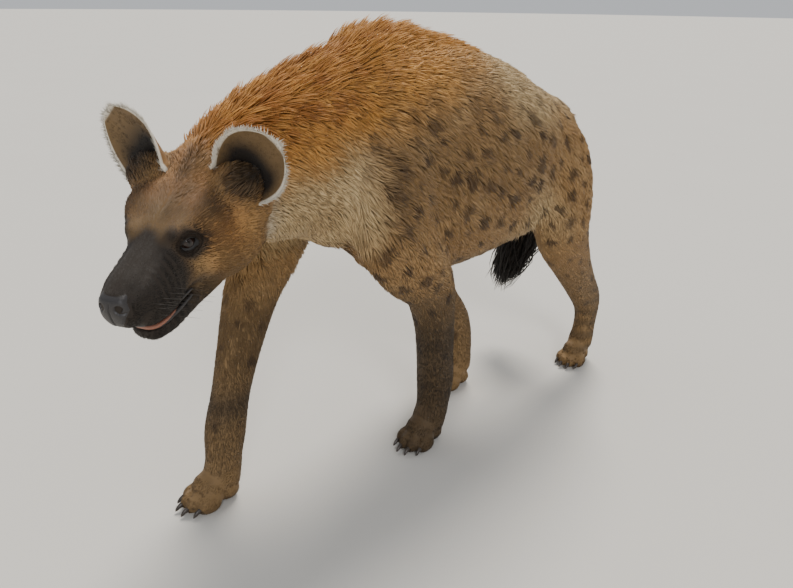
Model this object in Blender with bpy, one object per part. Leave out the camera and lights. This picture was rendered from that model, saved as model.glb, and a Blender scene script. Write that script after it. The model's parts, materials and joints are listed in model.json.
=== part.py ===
"""Spotted hyena at a walk, life size: a still model such as a museum shows.

Metres, +Z up. The animal faces -Y, its left side is +X, and it stands on z = 0.
The flesh is built whole from lofted masses, fused, and parted with thin cuts.
"""
import math
import random

import bmesh
import bpy
from mathutils import Matrix, Vector
from mathutils.bvhtree import BVHTree

GAP = 0.0003  # between parts that touch
FAR = 0.5  # past every side of the model, for cutters
TO_MIDDLE = Vector((-0.009, 0.162, 0.0))  # from the trunk's own zero to the model's frame

# Each trunk, neck or tail station: centre x, y and z, half width, height above and below
TRUNK = (
    (0.0, -0.435, 0.525, 0.045, 0.050, 0.050),
    (0.0, -0.400, 0.545, 0.080, 0.110, 0.106),
    (0.0, -0.340, 0.575, 0.108, 0.165, 0.150),
    (0.0, -0.250, 0.590, 0.128, 0.218, 0.198),
    (0.0, -0.160, 0.580, 0.142, 0.228, 0.220),
    (0.0, -0.050, 0.570, 0.152, 0.222, 0.222),
    (0.0, 0.060, 0.562, 0.154, 0.204, 0.206),
    (0.0, 0.150, 0.560, 0.144, 0.176, 0.176),
    (0.0, 0.230, 0.570, 0.124, 0.138, 0.140),
    (0.0, 0.290, 0.578, 0.102, 0.100, 0.110),
    (0.0, 0.340, 0.572, 0.076, 0.070, 0.080),
    (0.0, 0.372, 0.566, 0.048, 0.040, 0.050),
)
NECK = (
    (0.0, -0.220, 0.630, 0.104, 0.165, 0.150),
    (0.0, -0.320, 0.630, 0.104, 0.158, 0.146),
    (0.0, -0.400, 0.622, 0.101, 0.142, 0.132),
    (0.001, -0.470, 0.610, 0.095, 0.122, 0.120),
    (0.008, -0.540, 0.594, 0.086, 0.102, 0.104),
    (0.020, -0.600, 0.574, 0.070, 0.078, 0.080),
)
TAIL = (
    (0.0, 0.330, 0.612, 0.040, 0.040, 0.040),
    (-0.003, 0.392, 0.590, 0.032, 0.032, 0.032),
    (-0.018, 0.428, 0.530, 0.025, 0.025, 0.025),
    (-0.054, 0.432, 0.445, 0.021, 0.021, 0.021),
    (-0.098, 0.414, 0.352, 0.019, 0.019, 0.019),
    (-0.130, 0.398, 0.268, 0.015, 0.015, 0.015),
)
# Each leg station: centre x, y and z, half width, reach to the front, reach to the back
LEGS = {
    "foreleg_left": (
        (0.066, -0.205, 0.700, 0.042, 0.060, 0.068),
        (0.090, -0.255, 0.625, 0.050, 0.086, 0.083),
        (0.103, -0.290, 0.530, 0.055, 0.092, 0.090),
        (0.104, -0.245, 0.440, 0.052, 0.076, 0.078),
        (0.098, -0.180, 0.370, 0.046, 0.056, 0.062),
        (0.088, -0.150, 0.290, 0.040, 0.044, 0.048),
        (0.078, -0.133, 0.205, 0.037, 0.040, 0.041),
        (0.071, -0.122, 0.140, 0.037, 0.039, 0.041),
        (0.066, -0.121, 0.085, 0.033, 0.035, 0.037),
        (0.063, -0.132, 0.040, 0.032, 0.036, 0.036),
    ),
    "foreleg_right": (
        (-0.066, -0.215, 0.700, 0.042, 0.060, 0.068),
        (-0.090, -0.285, 0.625, 0.050, 0.086, 0.083),
        (-0.104, -0.345, 0.535, 0.055, 0.092, 0.090),
        (-0.104, -0.385, 0.455, 0.052, 0.074, 0.078),
        (-0.100, -0.435, 0.370, 0.045, 0.056, 0.060),
        (-0.092, -0.475, 0.280, 0.039, 0.043, 0.046),
        (-0.085, -0.507, 0.195, 0.034, 0.037, 0.038),
        (-0.080, -0.527, 0.130, 0.036, 0.039, 0.040),
        (-0.076, -0.538, 0.075, 0.032, 0.034, 0.036),
        (-0.073, -0.548, 0.038, 0.031, 0.036, 0.035),
    ),
    "hindleg_left": (
        (0.062, 0.225, 0.610, 0.050, 0.075, 0.078),
        (0.088, 0.240, 0.540, 0.058, 0.100, 0.092),
        (0.099, 0.250, 0.455, 0.058, 0.104, 0.090),
        (0.101, 0.268, 0.375, 0.051, 0.086, 0.078),
        (0.098, 0.318, 0.300, 0.042, 0.062, 0.058),
        (0.094, 0.378, 0.230, 0.033, 0.046, 0.050),
        (0.090, 0.430, 0.165, 0.030, 0.040, 0.044),
        (0.086, 0.440, 0.105, 0.027, 0.031, 0.033),
        (0.084, 0.428, 0.045, 0.029, 0.033, 0.031),
    ),
    "hindleg_right": (
        (-0.062, 0.220, 0.605, 0.050, 0.080, 0.078),
        (-0.088, 0.190, 0.535, 0.060, 0.108, 0.104),
        (-0.102, 0.125, 0.460, 0.060, 0.108, 0.104),
        (-0.106, 0.060, 0.390, 0.052, 0.086, 0.082),
        (-0.096, 0.030, 0.310, 0.044, 0.062, 0.062),
        (-0.080, 0.060, 0.230, 0.035, 0.046, 0.050),
        (-0.066, 0.102, 0.165, 0.031, 0.038, 0.042),
        (-0.058, 0.114, 0.105, 0.028, 0.032, 0.033),
        (-0.055, 0.106, 0.045, 0.029, 0.033, 0.032),
    ),
}
# Each paw: middle x and y, share of a fore paw's size, toe-out in degrees
PAWS = {
    "forepaw_left": (0.063, -0.142, 1.0, 5.0),
    "forepaw_right": (-0.073, -0.560, 1.0, -3.0),
    "hindpaw_left": (0.084, 0.414, 0.92, 6.0),
    "hindpaw_right": (-0.055, 0.094, 0.92, -5.0),
}
TOES = ((-0.0275, -0.030), (-0.0095, -0.044), (0.0095, -0.044), (0.0275, -0.030))
TOE_SIZE = (0.0122, 0.0250, 0.0185)
CLAW_LENGTH = 0.019
CLAW_RADIUS = 0.0044
SOLE_SINK = 0.003  # how far each pad passes the floor before it is cut flat
PAW_TOP = 0.078

# For each fused part: voxel size, rounds of easing and triangles left
FUSING = {
    "torso": (0.0080, 40, 3500),
    "head": (0.0034, 34, 2150),
    "lower_jaw": (0.0030, 5, 420),
    "paw": (0.0032, 6, 850),
}

# The room in which each leg is parted from the trunk, from low to high corner
LEG_ROOMS = {
    "foreleg_left": ((0.035, -0.30, PAW_TOP), (0.22, -0.04, 0.352)),
    "foreleg_right": ((-0.22, -0.66, PAW_TOP), (-0.030, -0.33, 0.398)),
    "hindleg_left": ((0.030, 0.10, PAW_TOP), (0.22, 0.60, 0.372)),
    "hindleg_right": ((-0.22, -0.10, PAW_TOP), (-0.030, 0.30, 0.345)),
}
# Each plane cut: a point of it and the way out of the trunk
NECK_CUT = (Vector((0.0, -0.435, 0.640)), Vector((0.0, -0.90, 0.44)))
TAIL_CUT = (Vector((-0.003, 0.392, 0.590)), Vector((-0.15, 0.62, -0.77)))
TAIL_ROOM = 0.004  # left round the tail where the rump comes near it

# The head has its own frame: x to the nose, y to its left, z up, zero at the nape
HEAD_AT = Vector((0.002, -0.556, 0.594))
HEAD_TURN = math.radians(22.0)
HEAD_DIP = math.radians(19.5)
NAPE = -0.004  # of the cut between head and neck
JAW_HINGE = Vector((0.070, 0.0, -0.050))
JAW_OPEN = math.radians(5.5)
MOUTH_CORNER = 0.148
MOUTH_LINE = -0.0560
# Each head station: x, half width, top, bottom
SKULL = (
    (-0.050, 0.076, 0.058, -0.086),
    (0.000, 0.086, 0.066, -0.094),
    (0.040, 0.091, 0.070, -0.098),
    (0.080, 0.086, 0.067, -0.095),
    (0.115, 0.072, 0.056, -0.086),
    (0.145, 0.056, 0.041, -0.074),
    (0.175, 0.047, 0.029, -0.064),
    (0.205, 0.043, 0.022, -0.060),
    (0.232, 0.040, 0.017, -0.058),
    (0.250, 0.035, 0.011, -0.053),
)
JAW = (
    (0.060, 0.052, -0.050, -0.106),
    (0.100, 0.050, -0.050, -0.101),
    (0.140, 0.043, -0.050, -0.095),
    (0.180, 0.037, -0.050, -0.091),
    (0.210, 0.033, -0.050, -0.088),
    (0.230, 0.026, -0.050, -0.083),
)
# Each bump on the head, mirrored: x, y and z, then its three half sizes
HEAD_BUMPS = (
    ((0.062, 0.052, -0.034), (0.076, 0.044, 0.054)),  # cheek
    ((0.080, 0.048, 0.026), (0.058, 0.040, 0.036)),  # temple
    ((0.136, 0.032, 0.027), (0.034, 0.022, 0.016)),  # brow
    ((0.140, 0.040, -0.014), (0.036, 0.014, 0.018)),  # below the eye
    ((0.205, 0.024, -0.040), (0.052, 0.021, 0.023)),  # flews
    ((0.040, 0.070, 0.038), (0.052, 0.042, 0.044)),  # root of the ear
    ((0.040, 0.086, 0.012), (0.040, 0.028, 0.036)),  # below the ear
)
NOSE_BUMPS = (
    ((0.256, 0.0125, -0.006), (0.0145, 0.0115, 0.0125)),  # wing of the nostril
    ((0.257, 0.0040, -0.012), (0.0145, 0.0120, 0.0165)),  # pad
)
NOSTRIL = ((0.2725, 0.0115, -0.008), (0.0090, 0.0038, 0.0050))
TONGUE = ((0.200, 0.0, -0.055), (0.036, 0.021, 0.009))
EYE = Vector((0.147, 0.0455, 0.013))
EYE_RADIUS = 0.0135
EYE_OUT = 58.0  # degrees that the eye looks out from straight ahead
LID_REACH = 0.0146  # of the lids' rim from the eye's middle
LID_CORNER = 0.0138
LID_RISE = (0.0094, -0.0074)  # of the upper and the lower lid's rim
EAR_ROOT = Vector((0.044, 0.078, 0.050))
EAR_LENGTH = 0.108
EAR_HALF_WIDTH = 0.059
EAR_CUP = 0.030
EAR_THICK = 0.0056
# Each ear's turns, left (1) and right (-1): the left one hangs lower and further forward
EAR_SPLAY = {1: math.radians(48.0), -1: math.radians(42.0)}
EAR_LEAN_BACK = {1: math.radians(-12.0), -1: math.radians(10.0)}
EAR_FACE_OUT = {1: math.radians(-8.0), -1: math.radians(0.0)}
EAR_SEAT = 0.012  # of the cut between ear and head above the ear's root

SEED = 11
MANE_FROM = -0.560  # along the spine, at the nape
MANE_TO = 0.020  # where the mane runs out behind the withers
MANE_ROWS = (-0.040, -0.020, 0.0, 0.020, 0.040)
MANE_STEPS = 14
MANE_LENGTH = 0.082
MANE_WIDTH = 0.0165
BRUSH_LOCKS = 25
BRUSH_LENGTH = 0.138
BRUSH_WIDTH = 0.0165
LOCK_ROOT = 0.010  # how deep a lock is sunk
LOCK_PROFILE = (0.85, 1.0, 0.62)  # share of its width at each ring
LOCK_FLATNESS = 0.42

# Each finish: base colour and roughness; nothing on the animal is metallic
FINISHES = {
    "tan_coat": ((0.50, 0.38, 0.21), 0.85),
    "golden_coat": ((0.52, 0.33, 0.13), 0.85),
    "brown_coat": ((0.22, 0.15, 0.09), 0.85),
    "grey_coat": ((0.17, 0.13, 0.09), 0.85),
    "ear_coat": ((0.30, 0.25, 0.18), 0.80),
    "black_coat": ((0.035, 0.028, 0.024), 0.75),
    "eye": ((0.030, 0.014, 0.008), 0.08),
    "tongue": ((0.38, 0.15, 0.12), 0.45),
}
WEARS = {
    "torso": "tan_coat",
    "neck": "golden_coat",
    "head": "brown_coat",
    "lower_jaw": "grey_coat",
    "foreleg": "brown_coat",
    "hindleg": "brown_coat",
    "forepaw": "grey_coat",
    "hindpaw": "grey_coat",
    "ear": "ear_coat",
    "tail": "black_coat",
    "eye": "eye",
    "tongue": "tongue",
}
METALLIC = 0.0
SMOOTH_BELOW = math.radians(40.0)


def smooth_curve(stations, steps):
    """Stations filled in along a Catmull-Rom curve, all of their numbers together."""
    out = []
    last = len(stations) - 1
    for i in range(last):
        a, b, c, d = (stations[min(max(i + k, 0), last)] for k in (-1, 0, 1, 2))
        for s in range(steps):
            t = s / steps
            row = []
            for p, q, r, w in zip(a, b, c, d):
                bend = 2 * p - 5 * q + 4 * r - w
                twist = 3 * q - p - 3 * r + w
                row.append(0.5 * (2 * q + (r - p) * t + bend * t * t + twist * t ** 3))
            out.append(tuple(row))
    out.append(tuple(stations[last]))
    return out


def link_mesh(name, bm):
    """A mesh object made of bm, which is freed."""
    bmesh.ops.recalc_face_normals(bm, faces=bm.faces)
    mesh = bpy.data.meshes.new(name)
    bm.to_mesh(mesh)
    bm.free()
    obj = bpy.data.objects.new(name, mesh)
    bpy.context.scene.collection.objects.link(obj)
    return obj


def skin_rings(name, rings):
    """A closed tube through rings of points, each end closed by a fan."""
    bm = bmesh.new()
    loops = [[bm.verts.new(p) for p in ring] for ring in rings]
    count = len(loops[0])
    for low, high in zip(loops, loops[1:]):
        for i in range(count):
            j = (i + 1) % count
            bm.faces.new((low[i], low[j], high[j], high[i]))
    for loop in (loops[0], loops[-1]):
        middle = bm.verts.new(sum((v.co for v in loop), Vector()) / count)
        for i in range(count):
            bm.faces.new((loop[i], loop[(i + 1) % count], middle))
    return link_mesh(name, bm)


def oval(centre, side, rise, half_width, above, below, square, count=28):
    """One ring: a superellipse whose upper and lower halves have their own heights."""
    points = []
    for i in range(count):
        a = math.tau * i / count
        c, s = math.cos(a), math.sin(a)
        across = math.copysign(abs(c) ** (2 / square), c) * half_width
        height = math.copysign(abs(s) ** (2 / square), s) * (above if s > 0 else below)
        points.append(centre + side * across + rise * height)
    return points


def loft(name, stations, side, square=2.15, steps=4, dome=0.6, count=28):
    """A mass along its stations' centres. side is the way across; dome rounds both ends."""
    rows = smooth_curve(stations, steps)
    centres = [Vector(row[:3]) for row in rows]
    sections = []
    for i, row in enumerate(rows):
        along = centres[min(i + 1, len(rows) - 1)] - centres[max(i - 1, 0)]
        along.normalize()
        across = (side - along * side.dot(along)).normalized()
        rise = across.cross(along).normalized()
        sections.append((centres[i], along, across, rise, row[3:6]))
    caps = []
    for k in (0, -1):
        centre, along, across, rise, size = sections[k]
        out = -along if k == 0 else along
        cap = []
        for step in (0.95, 0.8, 0.5):
            shrink = math.sqrt(1 - step * step)
            middle = centre + out * (dome * min(size) * step)
            cap.append(oval(middle, across, rise, *(s * shrink for s in size), square, count))
        caps.append(cap)
    body = [oval(c, across, rise, *size, square, count) for c, _, across, rise, size in sections]
    return skin_rings(name, caps[0] + body + caps[1][::-1])


def ball(name, centre, sizes, turn=None, rings=14):
    """An ellipsoid with the given half sizes."""
    bm = bmesh.new()
    matrix = Matrix.Translation(centre) @ (turn or Matrix()) @ Matrix.Diagonal((*sizes, 1.0))
    bmesh.ops.create_uvsphere(bm, u_segments=2 * rings, v_segments=rings, radius=1.0, matrix=matrix)
    return link_mesh(name, bm)


def block(name, low, high, matrix=None):
    """A box from its low to its high corner, in the frame of matrix."""
    bm = bmesh.new()
    low, high = Vector(low), Vector(high)
    placed = Matrix.Translation((low + high) / 2) @ Matrix.Diagonal((*(high - low), 1.0))
    bmesh.ops.create_cube(bm, size=1.0, matrix=(matrix or Matrix()) @ placed)
    return link_mesh(name, bm)


def drop(objects):
    for obj in objects:
        bpy.data.objects.remove(obj)


def joined(name, objects):
    """One object that holds the loose shells of all the objects given."""
    bm = bmesh.new()
    for obj in objects:
        bm.from_mesh(obj.data)
    drop(objects)
    return link_mesh(name, bm)


def apply_modifiers(obj):
    """Leaves the object's mesh as its modifiers shape it."""
    graph = bpy.context.evaluated_depsgraph_get()
    mesh = bpy.data.meshes.new_from_object(obj.evaluated_get(graph))
    obj.modifiers.clear()
    obj.data = mesh
    return obj


def fuse(name, objects, weight=None, settings=None):
    """The masses grown together, their creases eased, with about the triangles given."""
    voxel, rounds, triangles = FUSING[settings or name]
    obj = joined(name, objects)
    remesh = obj.modifiers.new("grow_together", "REMESH")
    remesh.mode = "VOXEL"
    remesh.voxel_size = voxel
    apply_modifiers(obj)
    ease = obj.modifiers.new("ease_creases", "SMOOTH")
    ease.factor = 0.5
    ease.iterations = rounds
    if weight:
        group = obj.vertex_groups.new(name="ease")
        for vertex in obj.data.vertices:
            group.add([vertex.index], weight(vertex.co), "REPLACE")
        ease.vertex_group = group.name
    apply_modifiers(obj)
    obj.vertex_groups.clear()
    thin = obj.modifiers.new("fewer_faces", "DECIMATE")
    thin.ratio = min(1.0, triangles / (2 * len(obj.data.polygons)))
    thin.use_collapse_triangulate = True
    return apply_modifiers(obj)


def boolean(obj, other, operation, solver="EXACT"):
    """obj with other joined, cut away or kept as the limit; other is removed."""
    cut = obj.modifiers.new(operation.lower(), "BOOLEAN")
    cut.operation = operation
    cut.solver = solver
    cut.object = other
    apply_modifiers(obj)
    drop([other])
    return obj


def union_all(obj, pieces, solver="EXACT"):
    """obj and every piece as one closed body, by one Boolean on their collection."""
    group = bpy.data.collections.new(obj.name + "_pieces")
    bpy.context.scene.collection.children.link(group)
    for piece in pieces:
        group.objects.link(piece)
        bpy.context.scene.collection.objects.unlink(piece)
    cut = obj.modifiers.new("union", "BOOLEAN")
    cut.operation = "UNION"
    cut.solver = solver
    cut.operand_type = "COLLECTION"
    cut.collection = group
    apply_modifiers(obj)
    drop(list(group.objects))
    bpy.data.collections.remove(group)
    return keep_largest(obj)


def keep_largest(obj):
    """Drops every surface of obj but the one with the most volume."""
    bm = bmesh.new()
    bm.from_mesh(obj.data)
    bmesh.ops.remove_doubles(bm, verts=bm.verts, dist=1e-6)
    bmesh.ops.triangulate(bm, faces=bm.faces)
    left = set(bm.faces)
    shells = []
    while left:
        shell, front = [], [left.pop()]
        while front:
            face = front.pop()
            shell.append(face)
            for edge in face.edges:
                for other in edge.link_faces:
                    if other in left:
                        left.discard(other)
                        front.append(other)
        shells.append(shell)

    def volume(shell):
        return sum(f.verts[0].co.dot(f.verts[1].co.cross(f.verts[2].co)) for f in shell)

    shells.sort(key=volume)
    for shell in shells[:-1]:
        bmesh.ops.delete(bm, geom=shell, context="FACES")
    bm.to_mesh(obj.data)
    bm.free()
    return obj


def copy_of(obj, name):
    twin = bpy.data.objects.new(name, obj.data.copy())
    bpy.context.scene.collection.objects.link(twin)
    return twin


def facing(point, normal):
    """A frame at point whose z axis is normal."""
    z = normal.normalized()
    x = (Vector((1, 0, 0)) - z * z.x).normalized()
    return Matrix.Translation(point) @ Matrix((x, z.cross(x), z)).transposed().to_4x4()


def part_off(obj, name, low, high, matrix=None):
    """Splits obj: what lies in the box becomes a new node, a gap apart from the rest."""
    half = Vector((GAP, GAP, GAP)) / 2
    piece = copy_of(obj, name)
    boolean(piece, block("cut", Vector(low) + half, Vector(high) - half, matrix), "INTERSECT")
    boolean(obj, block("cut", Vector(low) - half, Vector(high) + half, matrix), "DIFFERENCE")
    keep_largest(piece)
    return piece


def head_frame():
    """The head's place and turn in the trunk's frame."""
    ahead = Vector((
        math.sin(HEAD_TURN) * math.cos(HEAD_DIP),
        -math.cos(HEAD_TURN) * math.cos(HEAD_DIP),
        -math.sin(HEAD_DIP),
    ))
    left = Vector((0, 0, 1)).cross(ahead).normalized()
    up = ahead.cross(left)
    return Matrix.Translation(HEAD_AT) @ Matrix((ahead, left, up)).transposed().to_4x4()


def in_world(objects):
    """The objects moved from the head's frame to the trunk's."""
    for obj in objects:
        obj.data.transform(head_frame())
    return objects


def head_loft(name, stations, square=2.2):
    """A mass of the head through its stations, in the head's frame."""
    rows = []
    for x, width, top, bottom in stations:
        half = (top - bottom) / 2
        rows.append((x, 0.0, (top + bottom) / 2, width, half, half))
    return loft(name, rows, Vector((0, 1, 0)), square=square, dome=0.8)


def mirrored(point, side):
    return Vector((point[0], point[1] * side, point[2]))


def skull_masses():
    masses = [head_loft("skull", SKULL)]
    for place, sizes in HEAD_BUMPS:
        masses += [ball("bump", mirrored(place, side), sizes) for side in (1, -1)]
    return masses


def nose_masses():
    return [ball("nose", mirrored(place, side), sizes) for place, sizes in NOSE_BUMPS for side in (1, -1)]


def eye_frame(side):
    """The eye's frame in the head: z looks out of the socket, y is up."""
    out = math.radians(EYE_OUT) * side
    look = Vector((math.cos(out), math.sin(out), 0.10)).normalized()
    up = (Vector((0, 0, 1)) - look * look.z).normalized()
    across = up.cross(look)
    return Matrix.Translation(mirrored(EYE, side)) @ Matrix((across, up, look)).transposed().to_4x4()


def lid(side, rise):
    """One eyelid: a bent roll over the eyeball from corner to corner."""
    frame = eye_frame(side)
    rows = []
    steps = 7
    for i in range(steps):
        t = -1 + 2 * i / (steps - 1)
        across = t * LID_CORNER
        height = rise * (1 - t * t)
        depth = math.sqrt(LID_REACH ** 2 - across ** 2 - height ** 2)
        thick = 0.0026 + 0.0014 * (1 - t * t)
        rows.append((*(frame @ Vector((across, height, depth))), thick, thick, thick))
    up = frame.to_3x3() @ Vector((0, 1, 0))
    return loft("lid", rows, up, steps=1, dome=0.8, count=8)


def ear_frame(side):
    """The ear's frame in the head: z from root to tip, y the way the cup opens."""
    splay = EAR_SPLAY[side]
    tip = Vector((-math.sin(EAR_LEAN_BACK[side]), side * math.sin(splay), math.cos(splay)))
    tip.normalize()
    turn = EAR_FACE_OUT[side]
    opening = Vector((math.cos(turn), side * math.sin(turn), 0.0))
    opening = (opening - tip * opening.dot(tip)).normalized()
    across = opening.cross(tip)
    turned = Matrix((across, opening, tip)).transposed().to_4x4()
    return Matrix.Translation(mirrored(EAR_ROOT, side)) @ turned


def ear_point(side, u, v, out):
    """A point of the pinna: u from rim to rim, v from root to tip, out through its wall."""
    width = EAR_HALF_WIDTH * (0.62 + 1.10 * v - 0.86 * v * v) * max(1 - v ** 2.8, 0.0) ** 0.58
    wrap = 1.75 - 1.05 * v
    angle = u * wrap
    flare = math.sin(angle) / math.sin(min(wrap, math.pi / 2))
    lateral = 1.0 + 0.10 * side * u
    away = Vector((math.sin(angle), -math.cos(angle), 0.0))
    place = Vector((
        width * flare * lateral,
        0.006 - EAR_CUP * (1.05 - 0.70 * v) * math.cos(angle) - 0.010 * v * v,
        v * EAR_LENGTH - 0.014 * u * u * (1 - v),
    ))
    return place + away * out


def ear_shell(side):
    """The pinna: a round cup with a thin rim, in the head's frame."""
    frame = ear_frame(side)
    rows, columns = 9, 11
    bm = bmesh.new()
    sheets = []
    for sign in (-1, 1):
        sheet = []
        for i in range(rows):
            v = 0.985 * (i / (rows - 1)) ** 0.8
            thick = EAR_THICK * (1.3 - 0.6 * v) / 2
            for j in range(columns):
                u = -1 + 2 * j / (columns - 1)
                sheet.append(bm.verts.new(frame @ ear_point(side, u, v, sign * thick)))
        sheets.append(sheet)
    for sheet in sheets:
        for i in range(rows - 1):
            for j in range(columns - 1):
                k = i * columns + j
                bm.faces.new((sheet[k], sheet[k + 1], sheet[k + columns + 1], sheet[k + columns]))
    rim = list(range(columns))
    rim += [i * columns + columns - 1 for i in range(1, rows)]
    rim += [(rows - 1) * columns + j for j in range(columns - 2, -1, -1)]
    rim += [i * columns for i in range(rows - 2, 0, -1)]
    inner, outer = sheets
    for a, b in zip(rim, rim[1:] + rim[:1]):
        bm.faces.new((inner[a], outer[a], outer[b], inner[b]))
    bmesh.ops.triangulate(bm, faces=bm.faces)
    return link_mesh("ear_shell", bm)


def ear(name, side):
    """One ear above its seat on the head."""
    frame = ear_frame(side)
    shell = ear_shell(side)
    turn = frame.to_3x3().to_4x4()
    plug = ball("root", frame @ Vector((0, -0.009, 0.006)), (0.034, 0.022, 0.020), turn, rings=7)
    boolean(shell, plug, "UNION")
    boolean(shell, block("cut", (-0.2, -0.2, -0.2), (0.2, 0.2, EAR_SEAT + GAP), frame), "DIFFERENCE")
    shell.name = name
    return keep_largest(shell)


def jaw_frame():
    """The lower jaw's turn about its hinge, as it hangs a little open."""
    back = Matrix.Translation(JAW_HINGE)
    return back @ Matrix.Rotation(JAW_OPEN, 4, "Y") @ back.inverted()


def build_head():
    """Head, lower jaw, tongue, ears and eyes, all in the trunk's frame."""
    turn = jaw_frame()
    masses = skull_masses() + nose_masses()
    masses.append(head_loft("throat", JAW, square=2.4))
    masses[-1].data.transform(turn)
    masses = in_world(masses) + [loft("neck", NECK, Vector((1, 0, 0)))]
    head = fuse("head", masses, head_easing)
    head.data.transform(head_frame().inverted())
    boolean(head, block("cut", (NAPE + GAP / 2, -0.2, -0.2), (0.4, 0.2, 0.2)), "INTERSECT")
    room_low = Vector((MOUTH_CORNER, -0.10, -0.30))
    room_high = Vector((0.40, 0.10, MOUTH_LINE))
    boolean(head, block("cut", room_low, room_high), "DIFFERENCE")
    jaw = fuse("lower_jaw", [head_loft("jaw", JAW, square=2.4)])
    boolean(jaw, block("cut", (0.0, -0.1, MOUTH_LINE - 0.003), (0.4, 0.1, 0.1)), "DIFFERENCE")
    jaw.data.transform(turn)
    inset = Vector((GAP, 0, 0))
    boolean(jaw, block("cut", room_low + inset, room_high - Vector((0, 0, GAP))), "INTERSECT")
    tongue = ball("tongue", TONGUE[0], TONGUE[1], rings=7)
    boolean(tongue, block("cut", (0.0, -0.1, -0.2), (0.4, 0.1, MOUTH_LINE - 0.003 + GAP)), "DIFFERENCE")
    tongue.data.transform(turn)
    boolean(tongue, block("cut", room_low + inset, room_high - Vector((0, 0, GAP))), "INTERSECT")
    lids = [lid(side, rise) for side in (1, -1) for rise in LID_RISE]
    union_all(head, lids)
    nodes = [head, keep_largest(jaw), keep_largest(tongue)]
    for side, word in ((1, "left"), (-1, "right")):
        seat = block("cut", (-0.07, -0.06, EAR_SEAT), (0.07, 0.06, 0.20), ear_frame(side))
        boolean(head, seat, "DIFFERENCE")
        nodes.append(ear("ear_" + word, side))
        look = eye_frame(side)
        centre, turn = look.translation, look.to_3x3().to_4x4()
        boolean(head, ball("socket", centre, [EYE_RADIUS + GAP] * 3, turn, rings=8), "DIFFERENCE")
        nodes.append(ball("eye_" + word, centre, [EYE_RADIUS] * 3, turn, rings=8))
        boolean(head, ball("nostril", mirrored(NOSTRIL[0], side), NOSTRIL[1], rings=5), "DIFFERENCE")
    keep_largest(head)
    return in_world(nodes)


def head_easing(place):
    """How far the head is eased: fully round the skull, less at the muzzle's tip."""
    ahead = (head_frame().inverted() @ place).x
    return min(max((0.215 - ahead) / 0.07, 0.14), 1.0)


def leg_easing(place):
    """How far the fused flesh is eased: fully on the trunk, little on the lower legs."""
    return min(max((place.z - 0.30) / 0.16, 0.12), 1.0)


def build_body():
    """Trunk, neck and legs in one piece, without the head."""
    across = Vector((1, 0, 0))
    masses = [loft("trunk", TRUNK, across), loft("neck", NECK, across), loft("tail", TAIL[:2], across)]
    masses += [loft("leg", stations, across) for stations in LEGS.values()]
    masses += in_world([head_loft("skull", SKULL[:5])])
    return fuse("torso", masses, leg_easing)


def build_paw(name, spec, leg):
    """One paw: pads, four toes with blunt claws, cut flat where it stands."""
    x, y, scale, toe_out = spec
    place = Matrix.Translation((x, y, 0)) @ Matrix.Rotation(math.radians(toe_out), 4, "Z")
    place = place @ Matrix.Diagonal((scale, scale, scale, 1.0))
    masses = [
        ball("heel", (0, 0.014, 0.022 - SOLE_SINK), (0.030, 0.030, 0.022)),
        ball("instep", (0, -0.006, 0.038), (0.031, 0.040, 0.025)),
    ]
    claws = []
    for toe_x, toe_y in TOES:
        masses.append(ball("toe", (toe_x, toe_y, TOE_SIZE[2] - SOLE_SINK), TOE_SIZE))
        tip = Vector((toe_x * 1.06, toe_y - TOE_SIZE[1] - CLAW_LENGTH * 0.55, 0.0050))
        root = Vector((toe_x, toe_y - TOE_SIZE[1] + CLAW_LENGTH * 0.55, 0.0130))
        middle = (tip + root) / 2 + Vector((0, 0, 0.0022))
        rows = [
            (*root, CLAW_RADIUS, CLAW_RADIUS, CLAW_RADIUS),
            (*middle, CLAW_RADIUS * 0.85, CLAW_RADIUS * 0.85, CLAW_RADIUS * 0.85),
            (*tip, CLAW_RADIUS * 0.3, CLAW_RADIUS * 0.3, CLAW_RADIUS * 0.3),
        ]
        claws.append(loft("claw", rows, Vector((1, 0, 0)), steps=1, dome=0.8, count=6))
    for mass in masses + claws:
        mass.data.transform(place)
    masses.append(loft("leg", LEGS[leg], Vector((1, 0, 0))))
    paw = fuse(name, masses, settings="paw")
    boolean(paw, block("cut", (-FAR, -1, 0), (FAR, 1, PAW_TOP - GAP / 2)), "INTERSECT")
    return union_all(keep_largest(paw), claws)


def lock(root, start, lie, across, length, width, rng):
    """A flat lock: sunk at its root, bent over from start towards lie, pointed at its tip."""
    bm = bmesh.new()
    rings = []
    place = root - start * LOCK_ROOT
    steps = len(LOCK_PROFILE)
    side = across + start * rng.uniform(-0.15, 0.15)
    side.normalize()
    for i in range(steps):
        t = i / steps
        heading = (start * (1 - t) + lie * t).normalized()
        flat = heading.cross(side).normalized()
        half = width * LOCK_PROFILE[i]
        thick = half * LOCK_FLATNESS
        corners = (side * half, flat * thick, -side * half, -flat * thick)
        rings.append([bm.verts.new(place + corner) for corner in corners])
        reach = length / steps + (LOCK_ROOT if i == 0 else 0.0)
        place = place + heading * reach
    tip = bm.verts.new(place)
    for low, high in zip(rings, rings[1:]):
        for i in range(4):
            j = (i + 1) % 4
            bm.faces.new((low[i], low[j], high[j], high[i]))
    bm.faces.new(rings[0])
    for i in range(4):
        bm.faces.new((rings[-1][i], rings[-1][(i + 1) % 4], tip))
    bmesh.ops.triangulate(bm, faces=bm.faces)
    return link_mesh("lock", bm)


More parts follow.
